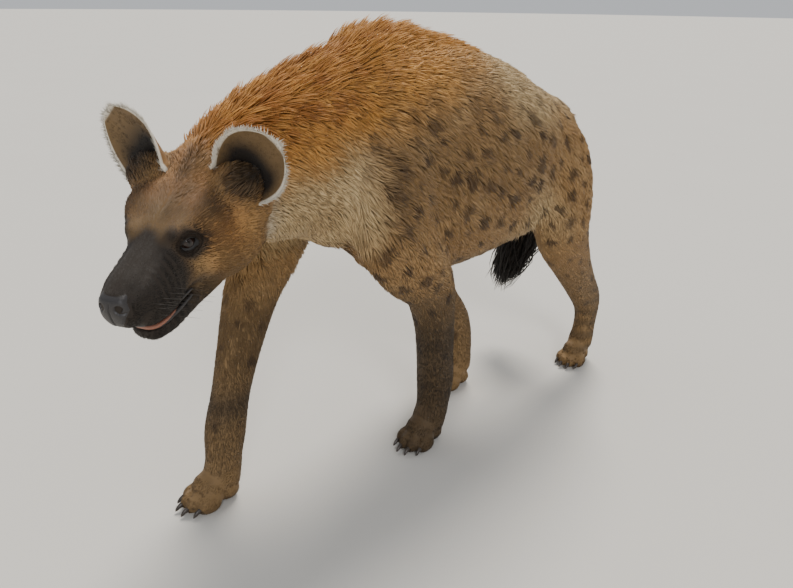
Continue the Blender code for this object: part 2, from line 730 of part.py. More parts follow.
def mane_locks(body):
    """Raised locks along the nape, the neck's ridge and the withers, swept back."""
    rng = random.Random(SEED)
    tree = BVHTree.FromObject(body, bpy.context.evaluated_depsgraph_get())
    locks = []
    for i in range(MANE_STEPS):
        share = i / (MANE_STEPS - 1)
        fade = min(1.0, 0.72 + 2.2 * share) * (1.0 - 1.55 * max(share - 0.6, 0.0))
        for k, offset in enumerate(MANE_ROWS):
            y = MANE_FROM + (MANE_TO - MANE_FROM) * (share + (k % 2) * 0.5 / (MANE_STEPS - 1))
            y += rng.uniform(-0.007, 0.007)
            x = offset + rng.uniform(-0.004, 0.004) + (0.006 if share < 0.1 else 0.0)
            hit, normal, _, _ = tree.ray_cast(Vector((x, y, 1.5)), Vector((0, 0, -1)))
            if hit is None or hit.z < 0.6:
                continue
            start = (normal * 0.85 + Vector((offset * 2.0, 0.65, 0))).normalized()
            lie = Vector((offset * 4.0, 0.90, 0.30 - 0.50 * share)).normalized()
            length = MANE_LENGTH * fade * rng.uniform(0.82, 1.15) * (1 - 4.5 * abs(offset))
            width = MANE_WIDTH * rng.uniform(0.85, 1.15)
            locks.append(lock(hit, start, lie, Vector((1, 0, 0)), length, width, rng))
    return locks


def brush_locks():
    """The tail's brush: locks round the last part of its stem, hanging to a point."""
    rng = random.Random(SEED + 1)
    rows = smooth_curve(TAIL, 6)
    locks = []
    for i in range(BRUSH_LOCKS):
        share = (i + 0.5) / BRUSH_LOCKS
        row = rows[int(len(rows) * (0.56 + 0.43 * share))]
        centre = Vector(row[:3])
        turn = 2.4 * i
        out = Vector((math.cos(turn), math.sin(turn), 0.0))
        root = centre + out * (row[3] * 0.55)
        spread = 0.55 * (1 - 0.45 * share)
        start = (out * spread + Vector((-0.12, -0.02, -1.0))).normalized()
        lie = (out * -0.10 * share + Vector((-0.05, 0.0, -1.0))).normalized()
        across = out.cross(Vector((0, 0, 1))).normalized()
        length = BRUSH_LENGTH * rng.uniform(0.85, 1.15) * (0.78 + 0.35 * share)
        width = BRUSH_WIDTH * rng.uniform(0.85, 1.2)
        locks.append(lock(root, start, lie, across, length, width, rng))
    return locks


def build_tail():
    tail = loft("tail", TAIL, Vector((1, 0, 0)), steps=3, count=14)
    boolean(tail, beyond_tail_cut(GAP / 2), "INTERSECT")
    return union_all(tail, brush_locks())


def beyond_tail_cut(start):
    """Everything on the tail's side of its cut, from start onwards."""
    point, out = TAIL_CUT
    return block("cut", (-FAR, -FAR, start), (FAR, FAR, 1.0), facing(point, out))


def tail_room():
    """The room that the tail takes out of the rump."""
    wider = [(*row[:3], *(size + TAIL_ROOM for size in row[3:])) for row in TAIL]
    room = loft("tail_room", wider, Vector((1, 0, 0)), steps=3, count=14)
    return boolean(room, beyond_tail_cut(-GAP / 2), "INTERSECT")


def finish(node, parent):
    """Gives a node its finish, its origin at its middle, smooth shading and its parent."""
    colour, roughness = FINISHES[WEARS[node.name.replace("_left", "").replace("_right", "")]]
    material = bpy.data.materials.new(node.name + "_finish")
    material.use_nodes = True
    shader = material.node_tree.nodes["Principled BSDF"]
    shader.inputs["Base Color"].default_value = (*colour, 1.0)
    shader.inputs["Roughness"].default_value = roughness
    shader.inputs["Metallic"].default_value = METALLIC
    mesh = node.data
    mesh.materials.clear()
    mesh.materials.append(material)
    corners = [Vector(corner) for corner in node.bound_box]
    middle = (corners[0] + corners[6]) / 2
    mesh.transform(Matrix.Translation(-middle))
    mesh.shade_smooth()
    mesh.set_sharp_from_angle(angle=SMOOTH_BELOW)
    node.location = middle
    node.parent = parent


def main():
    for obj in list(bpy.data.objects):
        bpy.data.objects.remove(obj)
    body = build_body()
    union_all(body, mane_locks(body))
    neck_end = head_frame() @ Matrix.Translation((NAPE - GAP / 2, 0, 0))
    boolean(body, block("cut", (0, -0.25, -0.25), (0.5, 0.25, 0.25), neck_end), "DIFFERENCE")
    boolean(body, tail_room(), "DIFFERENCE")
    nodes = [body]
    for name, (low, high) in LEG_ROOMS.items():
        nodes.append(part_off(body, name, low, high))
    for low, high in LEG_ROOMS.values():
        under = block("cut", (low[0], low[1], -FAR), (high[0], high[1], PAW_TOP + GAP))
        boolean(body, under, "DIFFERENCE")
    point, out = NECK_CUT
    nodes.append(part_off(body, "neck", (-FAR, -FAR, 0.0), (FAR, FAR, FAR), facing(point, out)))
    keep_largest(body)
    for name, spec in PAWS.items():
        nodes.append(build_paw(name, spec, name.replace("paw", "leg")))
    nodes.append(build_tail())
    nodes += build_head()
    stance = bpy.data.objects.new("hyena", None)
    bpy.context.scene.collection.objects.link(stance)
    stance.location = TO_MIDDLE
    bpy.context.view_layer.update()
    for node in nodes:
        finish(node, stance)


main()
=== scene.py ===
"""Spotted hyena at a walk, life size: the skin, coat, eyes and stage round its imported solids."""

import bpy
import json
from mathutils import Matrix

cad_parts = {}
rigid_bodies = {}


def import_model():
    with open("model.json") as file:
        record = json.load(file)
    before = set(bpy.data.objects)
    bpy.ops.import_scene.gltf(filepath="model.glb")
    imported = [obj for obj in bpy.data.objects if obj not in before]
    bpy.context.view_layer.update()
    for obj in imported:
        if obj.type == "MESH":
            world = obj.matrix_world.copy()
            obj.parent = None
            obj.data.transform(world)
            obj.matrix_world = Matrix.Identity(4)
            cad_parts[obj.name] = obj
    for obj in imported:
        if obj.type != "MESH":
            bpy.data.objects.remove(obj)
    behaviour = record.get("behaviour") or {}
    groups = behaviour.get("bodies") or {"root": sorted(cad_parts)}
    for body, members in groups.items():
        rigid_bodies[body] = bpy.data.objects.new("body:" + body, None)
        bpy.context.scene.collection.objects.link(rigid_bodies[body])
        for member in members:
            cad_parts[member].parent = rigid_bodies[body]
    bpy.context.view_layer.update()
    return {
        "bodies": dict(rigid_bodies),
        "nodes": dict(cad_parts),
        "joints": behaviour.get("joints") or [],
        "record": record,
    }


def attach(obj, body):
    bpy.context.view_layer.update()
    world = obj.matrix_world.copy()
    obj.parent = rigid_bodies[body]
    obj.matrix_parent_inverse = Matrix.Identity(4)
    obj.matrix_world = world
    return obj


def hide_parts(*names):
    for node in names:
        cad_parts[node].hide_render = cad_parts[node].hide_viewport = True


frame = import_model()

import json
import math

import bmesh
import bpy
import numpy as np
from bpy.props import FloatProperty, FloatVectorProperty, PointerProperty
from mathutils import Matrix, Vector
from mathutils.bvhtree import BVHTree
from mathutils.kdtree import KDTree

bl_info = {
    "name": "Spotted hyena",
    "version": (1, 0, 0),
    "blender": (4, 5, 0),
    "location": "3D View > Sidebar > Hyena",
    "description": "Dresses the solids of a walking spotted hyena in skin, fur, eyes and claws",
    "category": "Add Mesh",
}

TO_MIDDLE = Vector((-0.009, 0.162, 0.0))  # from the trunk's own zero to the model's frame
ACROSS = Vector((1.0, 0.0, 0.0))


def metres(rows):
    """Rows of whole millimetres as rows of metres."""
    return tuple(tuple(value / 1000 for value in row) for row in rows)


# Each trunk, neck or tail station in millimetres:
# centre x, y and z, half width, height above and below
TRUNK = metres((
    (0, -435, 525, 45, 50, 50),
    (0, -400, 545, 80, 110, 106),
    (0, -340, 575, 108, 165, 150),
    (0, -250, 590, 128, 218, 198),
    (0, -160, 580, 142, 228, 220),
    (0, -50, 570, 152, 222, 222),
    (0, 60, 562, 154, 204, 206),
    (0, 150, 560, 144, 176, 176),
    (0, 230, 570, 124, 138, 140),
    (0, 290, 578, 102, 100, 110),
    (0, 340, 572, 76, 70, 80),
    (0, 372, 566, 48, 40, 50),
))
NECK = metres((
    (0, -220, 630, 104, 165, 150),
    (0, -320, 630, 104, 158, 146),
    (0, -400, 622, 101, 142, 132),
    (1, -470, 610, 95, 122, 120),
    (8, -540, 594, 86, 102, 104),
    (20, -600, 574, 70, 78, 80),
))
TAIL = metres((
    (0, 330, 612, 40, 40, 40),
    (-3, 392, 590, 32, 32, 32),
    (-18, 428, 530, 25, 25, 25),
    (-54, 432, 445, 21, 21, 21),
    (-98, 414, 352, 19, 19, 19),
    (-130, 398, 268, 15, 15, 15),
))
# Each leg station in millimetres:
# centre x, y and z, half width, reach to the front, reach to the back
LEGS = {
    "foreleg_left": metres((
        (66, -205, 700, 42, 60, 68),
        (90, -255, 625, 50, 86, 83),
        (103, -290, 530, 55, 92, 90),
        (104, -245, 440, 52, 76, 78),
        (98, -180, 370, 46, 56, 62),
        (88, -150, 290, 40, 44, 48),
        (78, -133, 205, 37, 40, 41),
        (71, -122, 140, 37, 39, 41),
        (66, -121, 85, 33, 35, 37),
        (63, -132, 40, 32, 36, 36),
    )),
    "foreleg_right": metres((
        (-66, -215, 700, 42, 60, 68),
        (-90, -285, 625, 50, 86, 83),
        (-104, -345, 535, 55, 92, 90),
        (-104, -385, 455, 52, 74, 78),
        (-100, -435, 370, 45, 56, 60),
        (-92, -475, 280, 39, 43, 46),
        (-85, -507, 195, 34, 37, 38),
        (-80, -527, 130, 36, 39, 40),
        (-76, -538, 75, 32, 34, 36),
        (-73, -548, 38, 31, 36, 35),
    )),
    "hindleg_left": metres((
        (62, 225, 610, 50, 75, 78),
        (88, 240, 540, 58, 100, 92),
        (99, 250, 455, 58, 104, 90),
        (101, 268, 375, 51, 86, 78),
        (98, 318, 300, 42, 62, 58),
        (94, 378, 230, 33, 46, 50),
        (90, 430, 165, 30, 40, 44),
        (86, 440, 105, 27, 31, 33),
        (84, 428, 45, 29, 33, 31),
    )),
    "hindleg_right": metres((
        (-62, 220, 605, 50, 80, 78),
        (-88, 190, 535, 60, 108, 104),
        (-102, 125, 460, 60, 108, 104),
        (-106, 60, 390, 52, 86, 82),
        (-96, 30, 310, 44, 62, 62),
        (-80, 60, 230, 35, 46, 50),
        (-66, 102, 165, 31, 38, 42),
        (-58, 114, 105, 28, 32, 33),
        (-55, 106, 45, 29, 33, 32),
    )),
}
# Each paw: middle x and y, share of a fore paw's size, toe-out in degrees
PAWS = {
    "forepaw_left": (0.063, -0.142, 1.0, 5.0),
    "forepaw_right": (-0.073, -0.560, 1.0, -3.0),
    "hindpaw_left": (0.084, 0.414, 0.92, 6.0),
    "hindpaw_right": (-0.055, 0.094, 0.92, -5.0),
}
TOES = ((-0.0275, -0.030), (-0.0095, -0.044), (0.0095, -0.044), (0.0275, -0.030))
TOE_SIZE = (0.0122, 0.0250, 0.0185)
CLAW_LENGTH = 0.019
CLAW_RADIUS = 0.0044
SOLE_SINK = 0.003

# The head has its own frame: x to the nose, y to its left, z up, zero at the nape
HEAD_AT = Vector((0.002, -0.556, 0.594))
HEAD_TURN = math.radians(22.0)
HEAD_DIP = math.radians(19.5)
JAW_HINGE = Vector((0.070, 0.0, -0.050))
JAW_OPEN = math.radians(5.5)
MOUTH_CORNER = 0.148
MOUTH_LINE = -0.0560
# Each head station in millimetres: x, half width, top, bottom
SKULL = metres((
    (-50, 76, 58, -86),
    (0, 86, 66, -94),
    (40, 91, 70, -98),
    (80, 86, 67, -95),
    (115, 72, 56, -86),
    (145, 56, 41, -74),
    (175, 47, 29, -64),
    (205, 43, 22, -60),
    (232, 40, 17, -58),
    (250, 35, 11, -53),
))
JAW = metres((
    (60, 52, -50, -106),
    (100, 50, -50, -101),
    (140, 43, -50, -95),
    (180, 37, -50, -91),
    (210, 33, -50, -88),
    (230, 26, -50, -83),
))
# Each bump on the head, mirrored: x, y and z, then its three half sizes
HEAD_BUMPS = (
    ((0.062, 0.052, -0.034), (0.076, 0.044, 0.054)),  # cheek
    ((0.080, 0.048, 0.026), (0.058, 0.040, 0.036)),  # temple
    ((0.136, 0.032, 0.027), (0.034, 0.022, 0.016)),  # brow
    ((0.112, 0.046, 0.024), (0.036, 0.027, 0.026)),  # between brow and temple
    ((0.140, 0.040, -0.014), (0.036, 0.014, 0.018)),  # below the eye
    ((0.205, 0.024, -0.040), (0.052, 0.021, 0.023)),  # flews
    ((0.040, 0.070, 0.036), (0.050, 0.040, 0.039)),  # root of the ear
    ((0.040, 0.086, 0.012), (0.040, 0.028, 0.036)),  # below the ear
)
NOSE_BUMPS = (
    ((0.256, 0.0125, -0.006), (0.0145, 0.0115, 0.0125)),  # wing of the nostril
    ((0.257, 0.0040, -0.012), (0.0145, 0.0120, 0.0165)),  # pad
)
EYE = Vector((0.147, 0.0455, 0.013))
EYE_RADIUS = 0.0125
EYE_SINK = 0.0072  # of the eyeball's middle into the head from there
EYE_OUT = 58.0  # degrees that the eye looks out from straight ahead
EYE_HALF_WIDTH = 0.0108  # of the opening between the lids
EYE_RISE = (0.0066, -0.0054)  # of the upper and the lower lid from the eye's level
EAR_ROOT = Vector((0.044, 0.078, 0.050))
EAR_LENGTH = 0.108
EAR_HALF_WIDTH = 0.059
EAR_CUP = 0.030
EAR_THICK = 0.0036
EAR_SPLAY = {1: math.radians(48.0), -1: math.radians(42.0)}
EAR_LEAN_BACK = {1: math.radians(-12.0), -1: math.radians(10.0)}
EAR_FACE_OUT = {1: math.radians(-8.0), -1: math.radians(0.0)}

EAR_ROWS, EAR_COLUMNS = 36, 45  # of points on each wall, root to tip and rim to rim
LID_COLUMNS = 84  # points round each lid

SKIN_VOXEL = 0.0050
SKIN_ROUNDS = 102  # of easing, at full weight on the trunk
SKIN_SHARE = 0.40  # of the faces kept, with all of those on the head and paws
HEAD_EASE = 0.36  # share of that on the head, and so on
PAW_EASE = 0.024
LEG_EASE = 0.12
TAIL_EASE = 0.05
WEIGHT_STEPS = 200  # of the easing's weight from none to full
SEED = 23
SPOT_TRIES = 3500.0  # places tried for a spot, for each square metre
# Tufts for each square metre where the hair is full
MANE_TUFTS = 130000.0
BRUSH_TUFTS = 250000.0
LID_TUFTS = 1500000.0
COAT_LIMIT = 194000  # triangles in one piece of the coat, just below the 200,000 allowed
LOWEST_SKIN = 0.0004
LOWEST_HAIR = 0.0002
FLESH = (
    "torso", "neck", "head", "lower_jaw", "tail",
    "foreleg_left", "foreleg_right", "hindleg_left", "hindleg_right",
    "forepaw_left", "forepaw_right", "hindpaw_left", "hindpaw_right",
)


def smooth_curve(stations, steps):
    """Stations filled in along a Catmull-Rom curve, all of their numbers together."""
    out = []
    last = len(stations) - 1
    for i in range(last):
        a, b, c, d = (stations[min(max(i + k, 0), last)] for k in (-1, 0, 1, 2))
        for s in range(steps):
            t = s / steps
            row = []
            for p, q, r, w in zip(a, b, c, d):
                bend = 2 * p - 5 * q + 4 * r - w
                twist = 3 * q - p - 3 * r + w
                row.append(0.5 * (2 * q + (r - p) * t + bend * t * t + twist * t ** 3))
            out.append(tuple(row))
    out.append(tuple(stations[last]))
    return out


def link_object(name, data):
    """An object that holds the data given, in the scene."""
    obj = bpy.data.objects.new(name, data)
    bpy.context.scene.collection.objects.link(obj)
    return obj


def link_mesh(name, bm):
    """A smooth mesh object made of bm, which is freed."""
    bmesh.ops.recalc_face_normals(bm, faces=bm.faces)
    mesh = bpy.data.meshes.new(name)
    bm.to_mesh(mesh)
    bm.free()
    mesh.shade_smooth()
    return link_object(name, mesh)


def skin_rings(name, rings):
    """A closed tube through rings of points, each end closed by a fan."""
    bm = bmesh.new()
    loops = [[bm.verts.new(p) for p in ring] for ring in rings]
    count = len(loops[0])
    for low, high in zip(loops, loops[1:]):
        for i in range(count):
            j = (i + 1) % count
            bm.faces.new((low[i], low[j], high[j], high[i]))
    for loop in (loops[0], loops[-1]):
        middle = bm.verts.new(sum((v.co for v in loop), Vector()) / count)
        for i in range(count):
            bm.faces.new((loop[i], loop[(i + 1) % count], middle))
    return link_mesh(name, bm)


def oval(centre, side, rise, half_width, above, below, square, count=28):
    """One ring: a superellipse whose upper and lower halves have their own heights."""
    points = []
    for i in range(count):
        a = math.tau * i / count
        c, s = math.cos(a), math.sin(a)
        across = math.copysign(abs(c) ** (2 / square), c) * half_width
        height = math.copysign(abs(s) ** (2 / square), s) * (above if s > 0 else below)
        points.append(centre + side * across + rise * height)
    return points


def loft(name, stations, side, square=2.15, steps=4, dome=0.6, count=28):
    """A mass along its stations' centres. side is the way across; dome rounds both ends."""
    rows = smooth_curve(stations, steps)
    centres = [Vector(row[:3]) for row in rows]
    sections = []
    for i, row in enumerate(rows):
        along = centres[min(i + 1, len(rows) - 1)] - centres[max(i - 1, 0)]
        along.normalize()
        across = (side - along * side.dot(along)).normalized()
        rise = across.cross(along).normalized()
        sections.append((centres[i], along, across, rise, row[3:6]))
    caps = []
    for k in (0, -1):
        centre, along, across, rise, size = sections[k]
        out = -along if k == 0 else along
        cap = []
        for step in (0.95, 0.8, 0.5):
            shrink = math.sqrt(1 - step * step)
            middle = centre + out * (dome * min(size) * step)
            cap.append(oval(middle, across, rise, *(s * shrink for s in size), square, count))
        caps.append(cap)
    body = [oval(c, across, rise, *size, square, count) for c, _, across, rise, size in sections]
    return skin_rings(name, caps[0] + body + caps[1][::-1])


def ball(name, centre, sizes, rings=14):
    """An ellipsoid with the given half sizes."""
    bm = bmesh.new()
    matrix = Matrix.Translation(centre) @ Matrix.Diagonal((*sizes, 1.0))
    bmesh.ops.create_uvsphere(bm, u_segments=2 * rings, v_segments=rings, radius=1.0, matrix=matrix)
    return link_mesh(name, bm)


def joined(name, objects):
    """One object that holds the loose shells of all the objects given."""
    bm = bmesh.new()
    for obj in objects:
        bm.from_mesh(obj.data)
        bpy.data.objects.remove(obj)
    return link_mesh(name, bm)


def apply_modifiers(obj):
    """Leaves the object's mesh as its modifiers shape it."""
    graph = bpy.context.evaluated_depsgraph_get()
    mesh = bpy.data.meshes.new_from_object(obj.evaluated_get(graph))
    obj.modifiers.clear()
    obj.data = mesh


def apply_by_weight(obj, modifier, weights, steps):
    """Applies a modifier with its weight at each point, in that many steps from 0 to 1."""
    group = obj.vertex_groups.new(name="weights")
    levels = np.round(weights * steps).astype(int)
    for level in np.unique(levels):
        group.add(np.nonzero(levels == level)[0].tolist(), float(level) / steps, "REPLACE")
    modifier.vertex_group = group.name
    apply_modifiers(obj)
    obj.vertex_groups.clear()


def grow_together(obj, voxel):
    remesh = obj.modifiers.new("grow_together", "REMESH")
    remesh.mode = "VOXEL"
    remesh.voxel_size = voxel
    apply_modifiers(obj)


def ease_creases(obj, rounds, weights):
    ease = obj.modifiers.new("ease_creases", "SMOOTH")
    ease.factor = 0.5
    ease.iterations = rounds
    apply_by_weight(obj, ease, weights, WEIGHT_STEPS)


def lighten(obj, share, plain):
    """Leaves only a share of the mesh's faces, taken where it is plain."""
    fewer = obj.modifiers.new("fewer_faces", "DECIMATE")
    fewer.ratio = share
    fewer.vertex_group_factor = 1.0
    apply_by_weight(obj, fewer, plain > 0.5, 1)


def head_frame():
    """The head's place and turn in the trunk's frame."""
    ahead = Vector((
        math.sin(HEAD_TURN) * math.cos(HEAD_DIP),
        -math.cos(HEAD_TURN) * math.cos(HEAD_DIP),
        -math.sin(HEAD_DIP),
    ))
    left = Vector((0, 0, 1)).cross(ahead).normalized()
    up = ahead.cross(left)
    return Matrix.Translation(HEAD_AT) @ Matrix((ahead, left, up)).transposed().to_4x4()


def head_in_model():
    return Matrix.Translation(TO_MIDDLE) @ head_frame()


def jaw_frame():
    """The lower jaw's turn about its hinge, as it hangs a little open."""
    back = Matrix.Translation(JAW_HINGE)
    return back @ Matrix.Rotation(JAW_OPEN, 4, "Y") @ back.inverted()


def mirrored(point, side):
    return Vector((point[0], point[1] * side, point[2]))


def head_loft(name, stations, square=2.2):
    """A mass of the head through its stations, in the head's frame."""
    rows = []
    for x, width, top, bottom in stations:
        half = (top - bottom) / 2
        rows.append((x, 0.0, (top + bottom) / 2, width, half, half))
    return loft(name, rows, Vector((0, 1, 0)), square=square, dome=0.8)


def eye_frame(side):
    """The eye's frame in the model: z looks out of the socket, y is up."""
    out = math.radians(EYE_OUT) * side
    look = Vector((math.cos(out), math.sin(out), 0.10)).normalized()
    up = (Vector((0, 0, 1)) - look * look.z).normalized()
    across = up.cross(look)
    place = mirrored(EYE, side) - look * EYE_SINK
    in_head = Matrix.Translation(place) @ Matrix((across, up, look)).transposed().to_4x4()
    return head_in_model() @ in_head


def ear_frame(side):
    """The ear's frame in the model: z from root to tip, y the way the cup opens."""
    splay = EAR_SPLAY[side]
    tip = Vector((-math.sin(EAR_LEAN_BACK[side]), side * math.sin(splay), math.cos(splay)))
    tip.normalize()
    turn = EAR_FACE_OUT[side]
    opening = Vector((math.cos(turn), side * math.sin(turn), 0.0))
    opening = (opening - tip * opening.dot(tip)).normalized()
    across = opening.cross(tip)
    in_head = Matrix.Translation(mirrored(EAR_ROOT, side))
    in_head = in_head @ Matrix((across, opening, tip)).transposed().to_4x4()
    return head_in_model() @ in_head


def moved(points, matrix):
    """Points, one a row, moved by a 4 by 4 matrix."""
    m = np.array(matrix)
    return points @ m[:3, :3].T + m[:3, 3]


def turned(vectors, matrix):
    return vectors @ np.array(matrix)[:3, :3].T


def unit(vectors):
    return vectors / np.maximum(np.linalg.norm(vectors, axis=-1, keepdims=True), 1e-9)


def ramp(values, low, high):
    """A smooth step from 0 at low to 1 at high, which may be the smaller."""
    t = np.clip((values - low) / (high - low), 0.0, 1.0)
    return t * t * (3 - 2 * t)


def bell(distance, radius):
    return np.exp(-(distance / radius) ** 2)


def wander(points, scale, seed):
    """A smooth random value from about -1 to 1 at each point, over lengths of about scale."""
    rng = np.random.default_rng(seed)
    total = np.zeros(len(points))
    for _ in range(6):
        wave = unit(rng.normal(size=3)) * rng.uniform(0.7, 1.5) * math.pi / scale
        total += np.sin(points @ wave + rng.uniform(0, math.tau))
    return total / 3.0


def tree_of(points):
    """A tree that finds the nearest of the points given."""
    tree = KDTree(len(points))
    for i, point in enumerate(points):
        tree.insert(point, i)
    tree.balance()
    return tree


def tail_curve():
    return np.array(smooth_curve(TAIL, 8))


def mesh_points(mesh, name="co"):
    values = np.zeros(len(mesh.vertices) * 3, np.float32)
    mesh.vertices.foreach_get(name, values)
    return values.reshape(-1, 3).astype(float)


def set_points(mesh, points):
    mesh.vertices.foreach_set("co", points.astype(np.float32).ravel())
    mesh.update()


class Surface:
    """A mesh as arrays: its points, their normals and its triangles."""

    def __init__(self, mesh):
        mesh.calc_loop_triangles()
        corners = np.zeros(len(mesh.loop_triangles) * 3, np.int32)
        mesh.loop_triangles.foreach_get("vertices", corners)
        self.points = mesh_points(mesh)
        self.normals = mesh_points(mesh, "normal")
        self.triangles = corners.reshape(-1, 3)

    def middles(self):
        return self.points[self.triangles].mean(axis=1)

    def areas(self):
        a, b, c = (self.points[self.triangles[:, k]] for k in range(3))
        return np.linalg.norm(np.cross(b - a, c - a), axis=1) / 2

    def scatter(self, density, rng):
        """Points spread over the triangles, with density of them for each square metre."""
        wanted = np.cumsum(self.areas() * density)
        count = int(wanted[-1])
        at = (np.arange(count) + rng.uniform(size=count)) * wanted[-1] / max(count, 1)
        chosen = np.minimum(np.searchsorted(wanted, at), len(wanted) - 1)
        u, v = rng.uniform(size=(2, count))
        u, v = np.where(u + v > 1, 1 - u, u), np.where(u + v > 1, 1 - v, v)
        shares = np.stack([1 - u - v, u, v], axis=1)[:, :, None]
        corners = self.triangles[chosen]
        points = (self.points[corners] * shares).sum(axis=1)
        normals = unit((self.normals[corners] * shares).sum(axis=1))
        return points, normals


class Places:
    """Where points of the skin lie on the animal, as masks from 0 to 1."""

    def __init__(self, points):
        self.model = points
        self.trunk = points - np.array(TO_MIDDLE)
        self.head = moved(points, head_in_model().inverted())
        _, y, z = self.trunk.T
        hx, _, hz = self.head.T
        near_head = ramp(hz, -0.19, -0.14) * ramp(y, -0.40, -0.44)
        self.is_head = ramp(hx, -0.015, 0.045) * near_head
        tail = tail_curve()
        gaps = np.linalg.norm(self.trunk[:, None, :] - tail[None, :, :3], axis=2)
        nearest = gaps.argmin(axis=1)
        self.tail_share = nearest / (len(tail) - 1)
        close = gaps[np.arange(len(points)), nearest] / tail[nearest, 3]
        self.is_tail = ramp(close, 1.7, 1.2) * ramp(y, 0.385, 0.405)
        self.is_leg = ramp(z, 0.47, 0.32) * (1 - self.is_tail) * (1 - near_head)
        self.is_paw = ramp(z, 0.085, 0.060) * (1 - self.is_tail)
        self.is_neck = ramp(y, -0.27, -0.36) * (1 - self.is_head) * ramp(z, 0.44, 0.50)

    def eye_gap(self):
        """How far each point is from the nearer eye's place."""
        gaps = [np.linalg.norm(self.head - mirrored(EYE, side), axis=1) for side in (1, -1)]
        return np.min(gaps, axis=0)

    def head_patch(self, x, y, z, radius):
        """A soft round patch on both sides of the head, from 0 to 1."""
        hx, hy, hz = self.head.T
        gap = np.stack([hx - x, np.abs(hy) - y, hz - z])
        return bell(np.linalg.norm(gap, axis=0), radius)

    def tail_station(self):
        """The number of the tail curve's station nearest to each point."""
        return (self.tail_share * (len(tail_curve()) - 1)).round().astype(int)

    def tail_lie(self):
        """The way down the tail at each point."""
        tail = tail_curve()[:, :3]
        step = np.minimum(self.tail_station(), len(tail) - 2)
        return unit(tail[step + 1] - tail[step])

    def leg_lie(self):
        """The way down each point's own leg."""
        x, y, z = self.trunk.T
        lie = np.zeros_like(self.trunk)
        best = np.full(len(x), 1e9)
        for stations in LEGS.values():
            rows = np.array(smooth_curve(stations, 4))[::-1]
            cx = np.interp(z, rows[:, 2], rows[:, 0])
            cy = np.interp(z, rows[:, 2], rows[:, 1])
            gap = np.hypot(x - cx, y - cy)
            step = 0.02
            low = np.stack([np.interp(z - step, rows[:, 2], rows[:, k]) for k in (0, 1)], axis=1)
            way = unit(np.column_stack([low[:, 0] - cx, low[:, 1] - cy, np.full(len(x), -step)]))
            nearer = gap < best
            lie[nearer] = way[nearer]
            best = np.minimum(best, gap)
        return lie


def coat_depth(places):
    """How far the skin lies below the coat's outer form."""
    z, hx = places.trunk[:, 2], places.head[:, 0]
    depth = 0.0095 - 0.0035 * ramp(z, 0.50, 0.36)
    depth = depth * (1 - places.is_leg) + 0.0045 * places.is_leg
    depth = depth - ramp(z, 0.30, 0.16) * 0.0022
    depth = depth * (1 - places.is_head) + places.is_head * (0.0052 - 0.0040 * ramp(hx, 0.07, 0.14))
    depth = depth * (1 - places.is_tail) + 0.005 * places.is_tail
    return depth * (1 - places.is_paw) + 0.0009 * places.is_paw


def spread_spots(surface):
    """Middles, sizes and strengths of the dark spots, never closer than a set distance."""
    rng = np.random.default_rng(SEED + 1)
    coat = bpy.context.scene.hyena_coat
    found, _ = surface.scatter(np.full(len(surface.triangles), SPOT_TRIES), rng)
    found = found[rng.permutation(len(found))]
    kept = np.zeros((0, 3))
    for point in found:
        if len(kept) == 0 or np.linalg.norm(kept - point, axis=1).min() > coat.spot_spacing:
            kept = np.vstack([kept, point])
    sizes = coat.spot_radius * rng.uniform(0.62, 1.25, len(kept))
    return kept, sizes, rng.uniform(0.70, 1.0, len(kept))


def spots_at(places, spots):
    """How dark the spots are at each point."""
    middles, sizes, strengths = spots
    tree = tree_of(middles)
    points = places.model
    warped = points + 0.0045 * np.stack([wander(points, 0.016, SEED + k) for k in (3, 4, 5)], axis=1)
    nearest = [tree.find(point)[1:] for point in warped.tolist()]
    which, gap = np.array(nearest).T
    which = which.astype(int)
    y, z = places.trunk[:, 1], places.trunk[:, 2]
    small = 1.0 - 0.35 * places.is_leg
    mask = ramp(gap / (sizes[which] * small), 1.12, 0.62) * strengths[which]
    where = ramp(y, -0.385, -0.32) * (1 - places.is_head) * (1 - places.is_tail)
    where = np.maximum(where * (1 - 0.85 * ramp(z, 0.63, 0.75)), 0.90 * places.is_leg)
    where = where * (1 - 0.8 * ramp(z, 0.12, 0.07))
    return mask * where


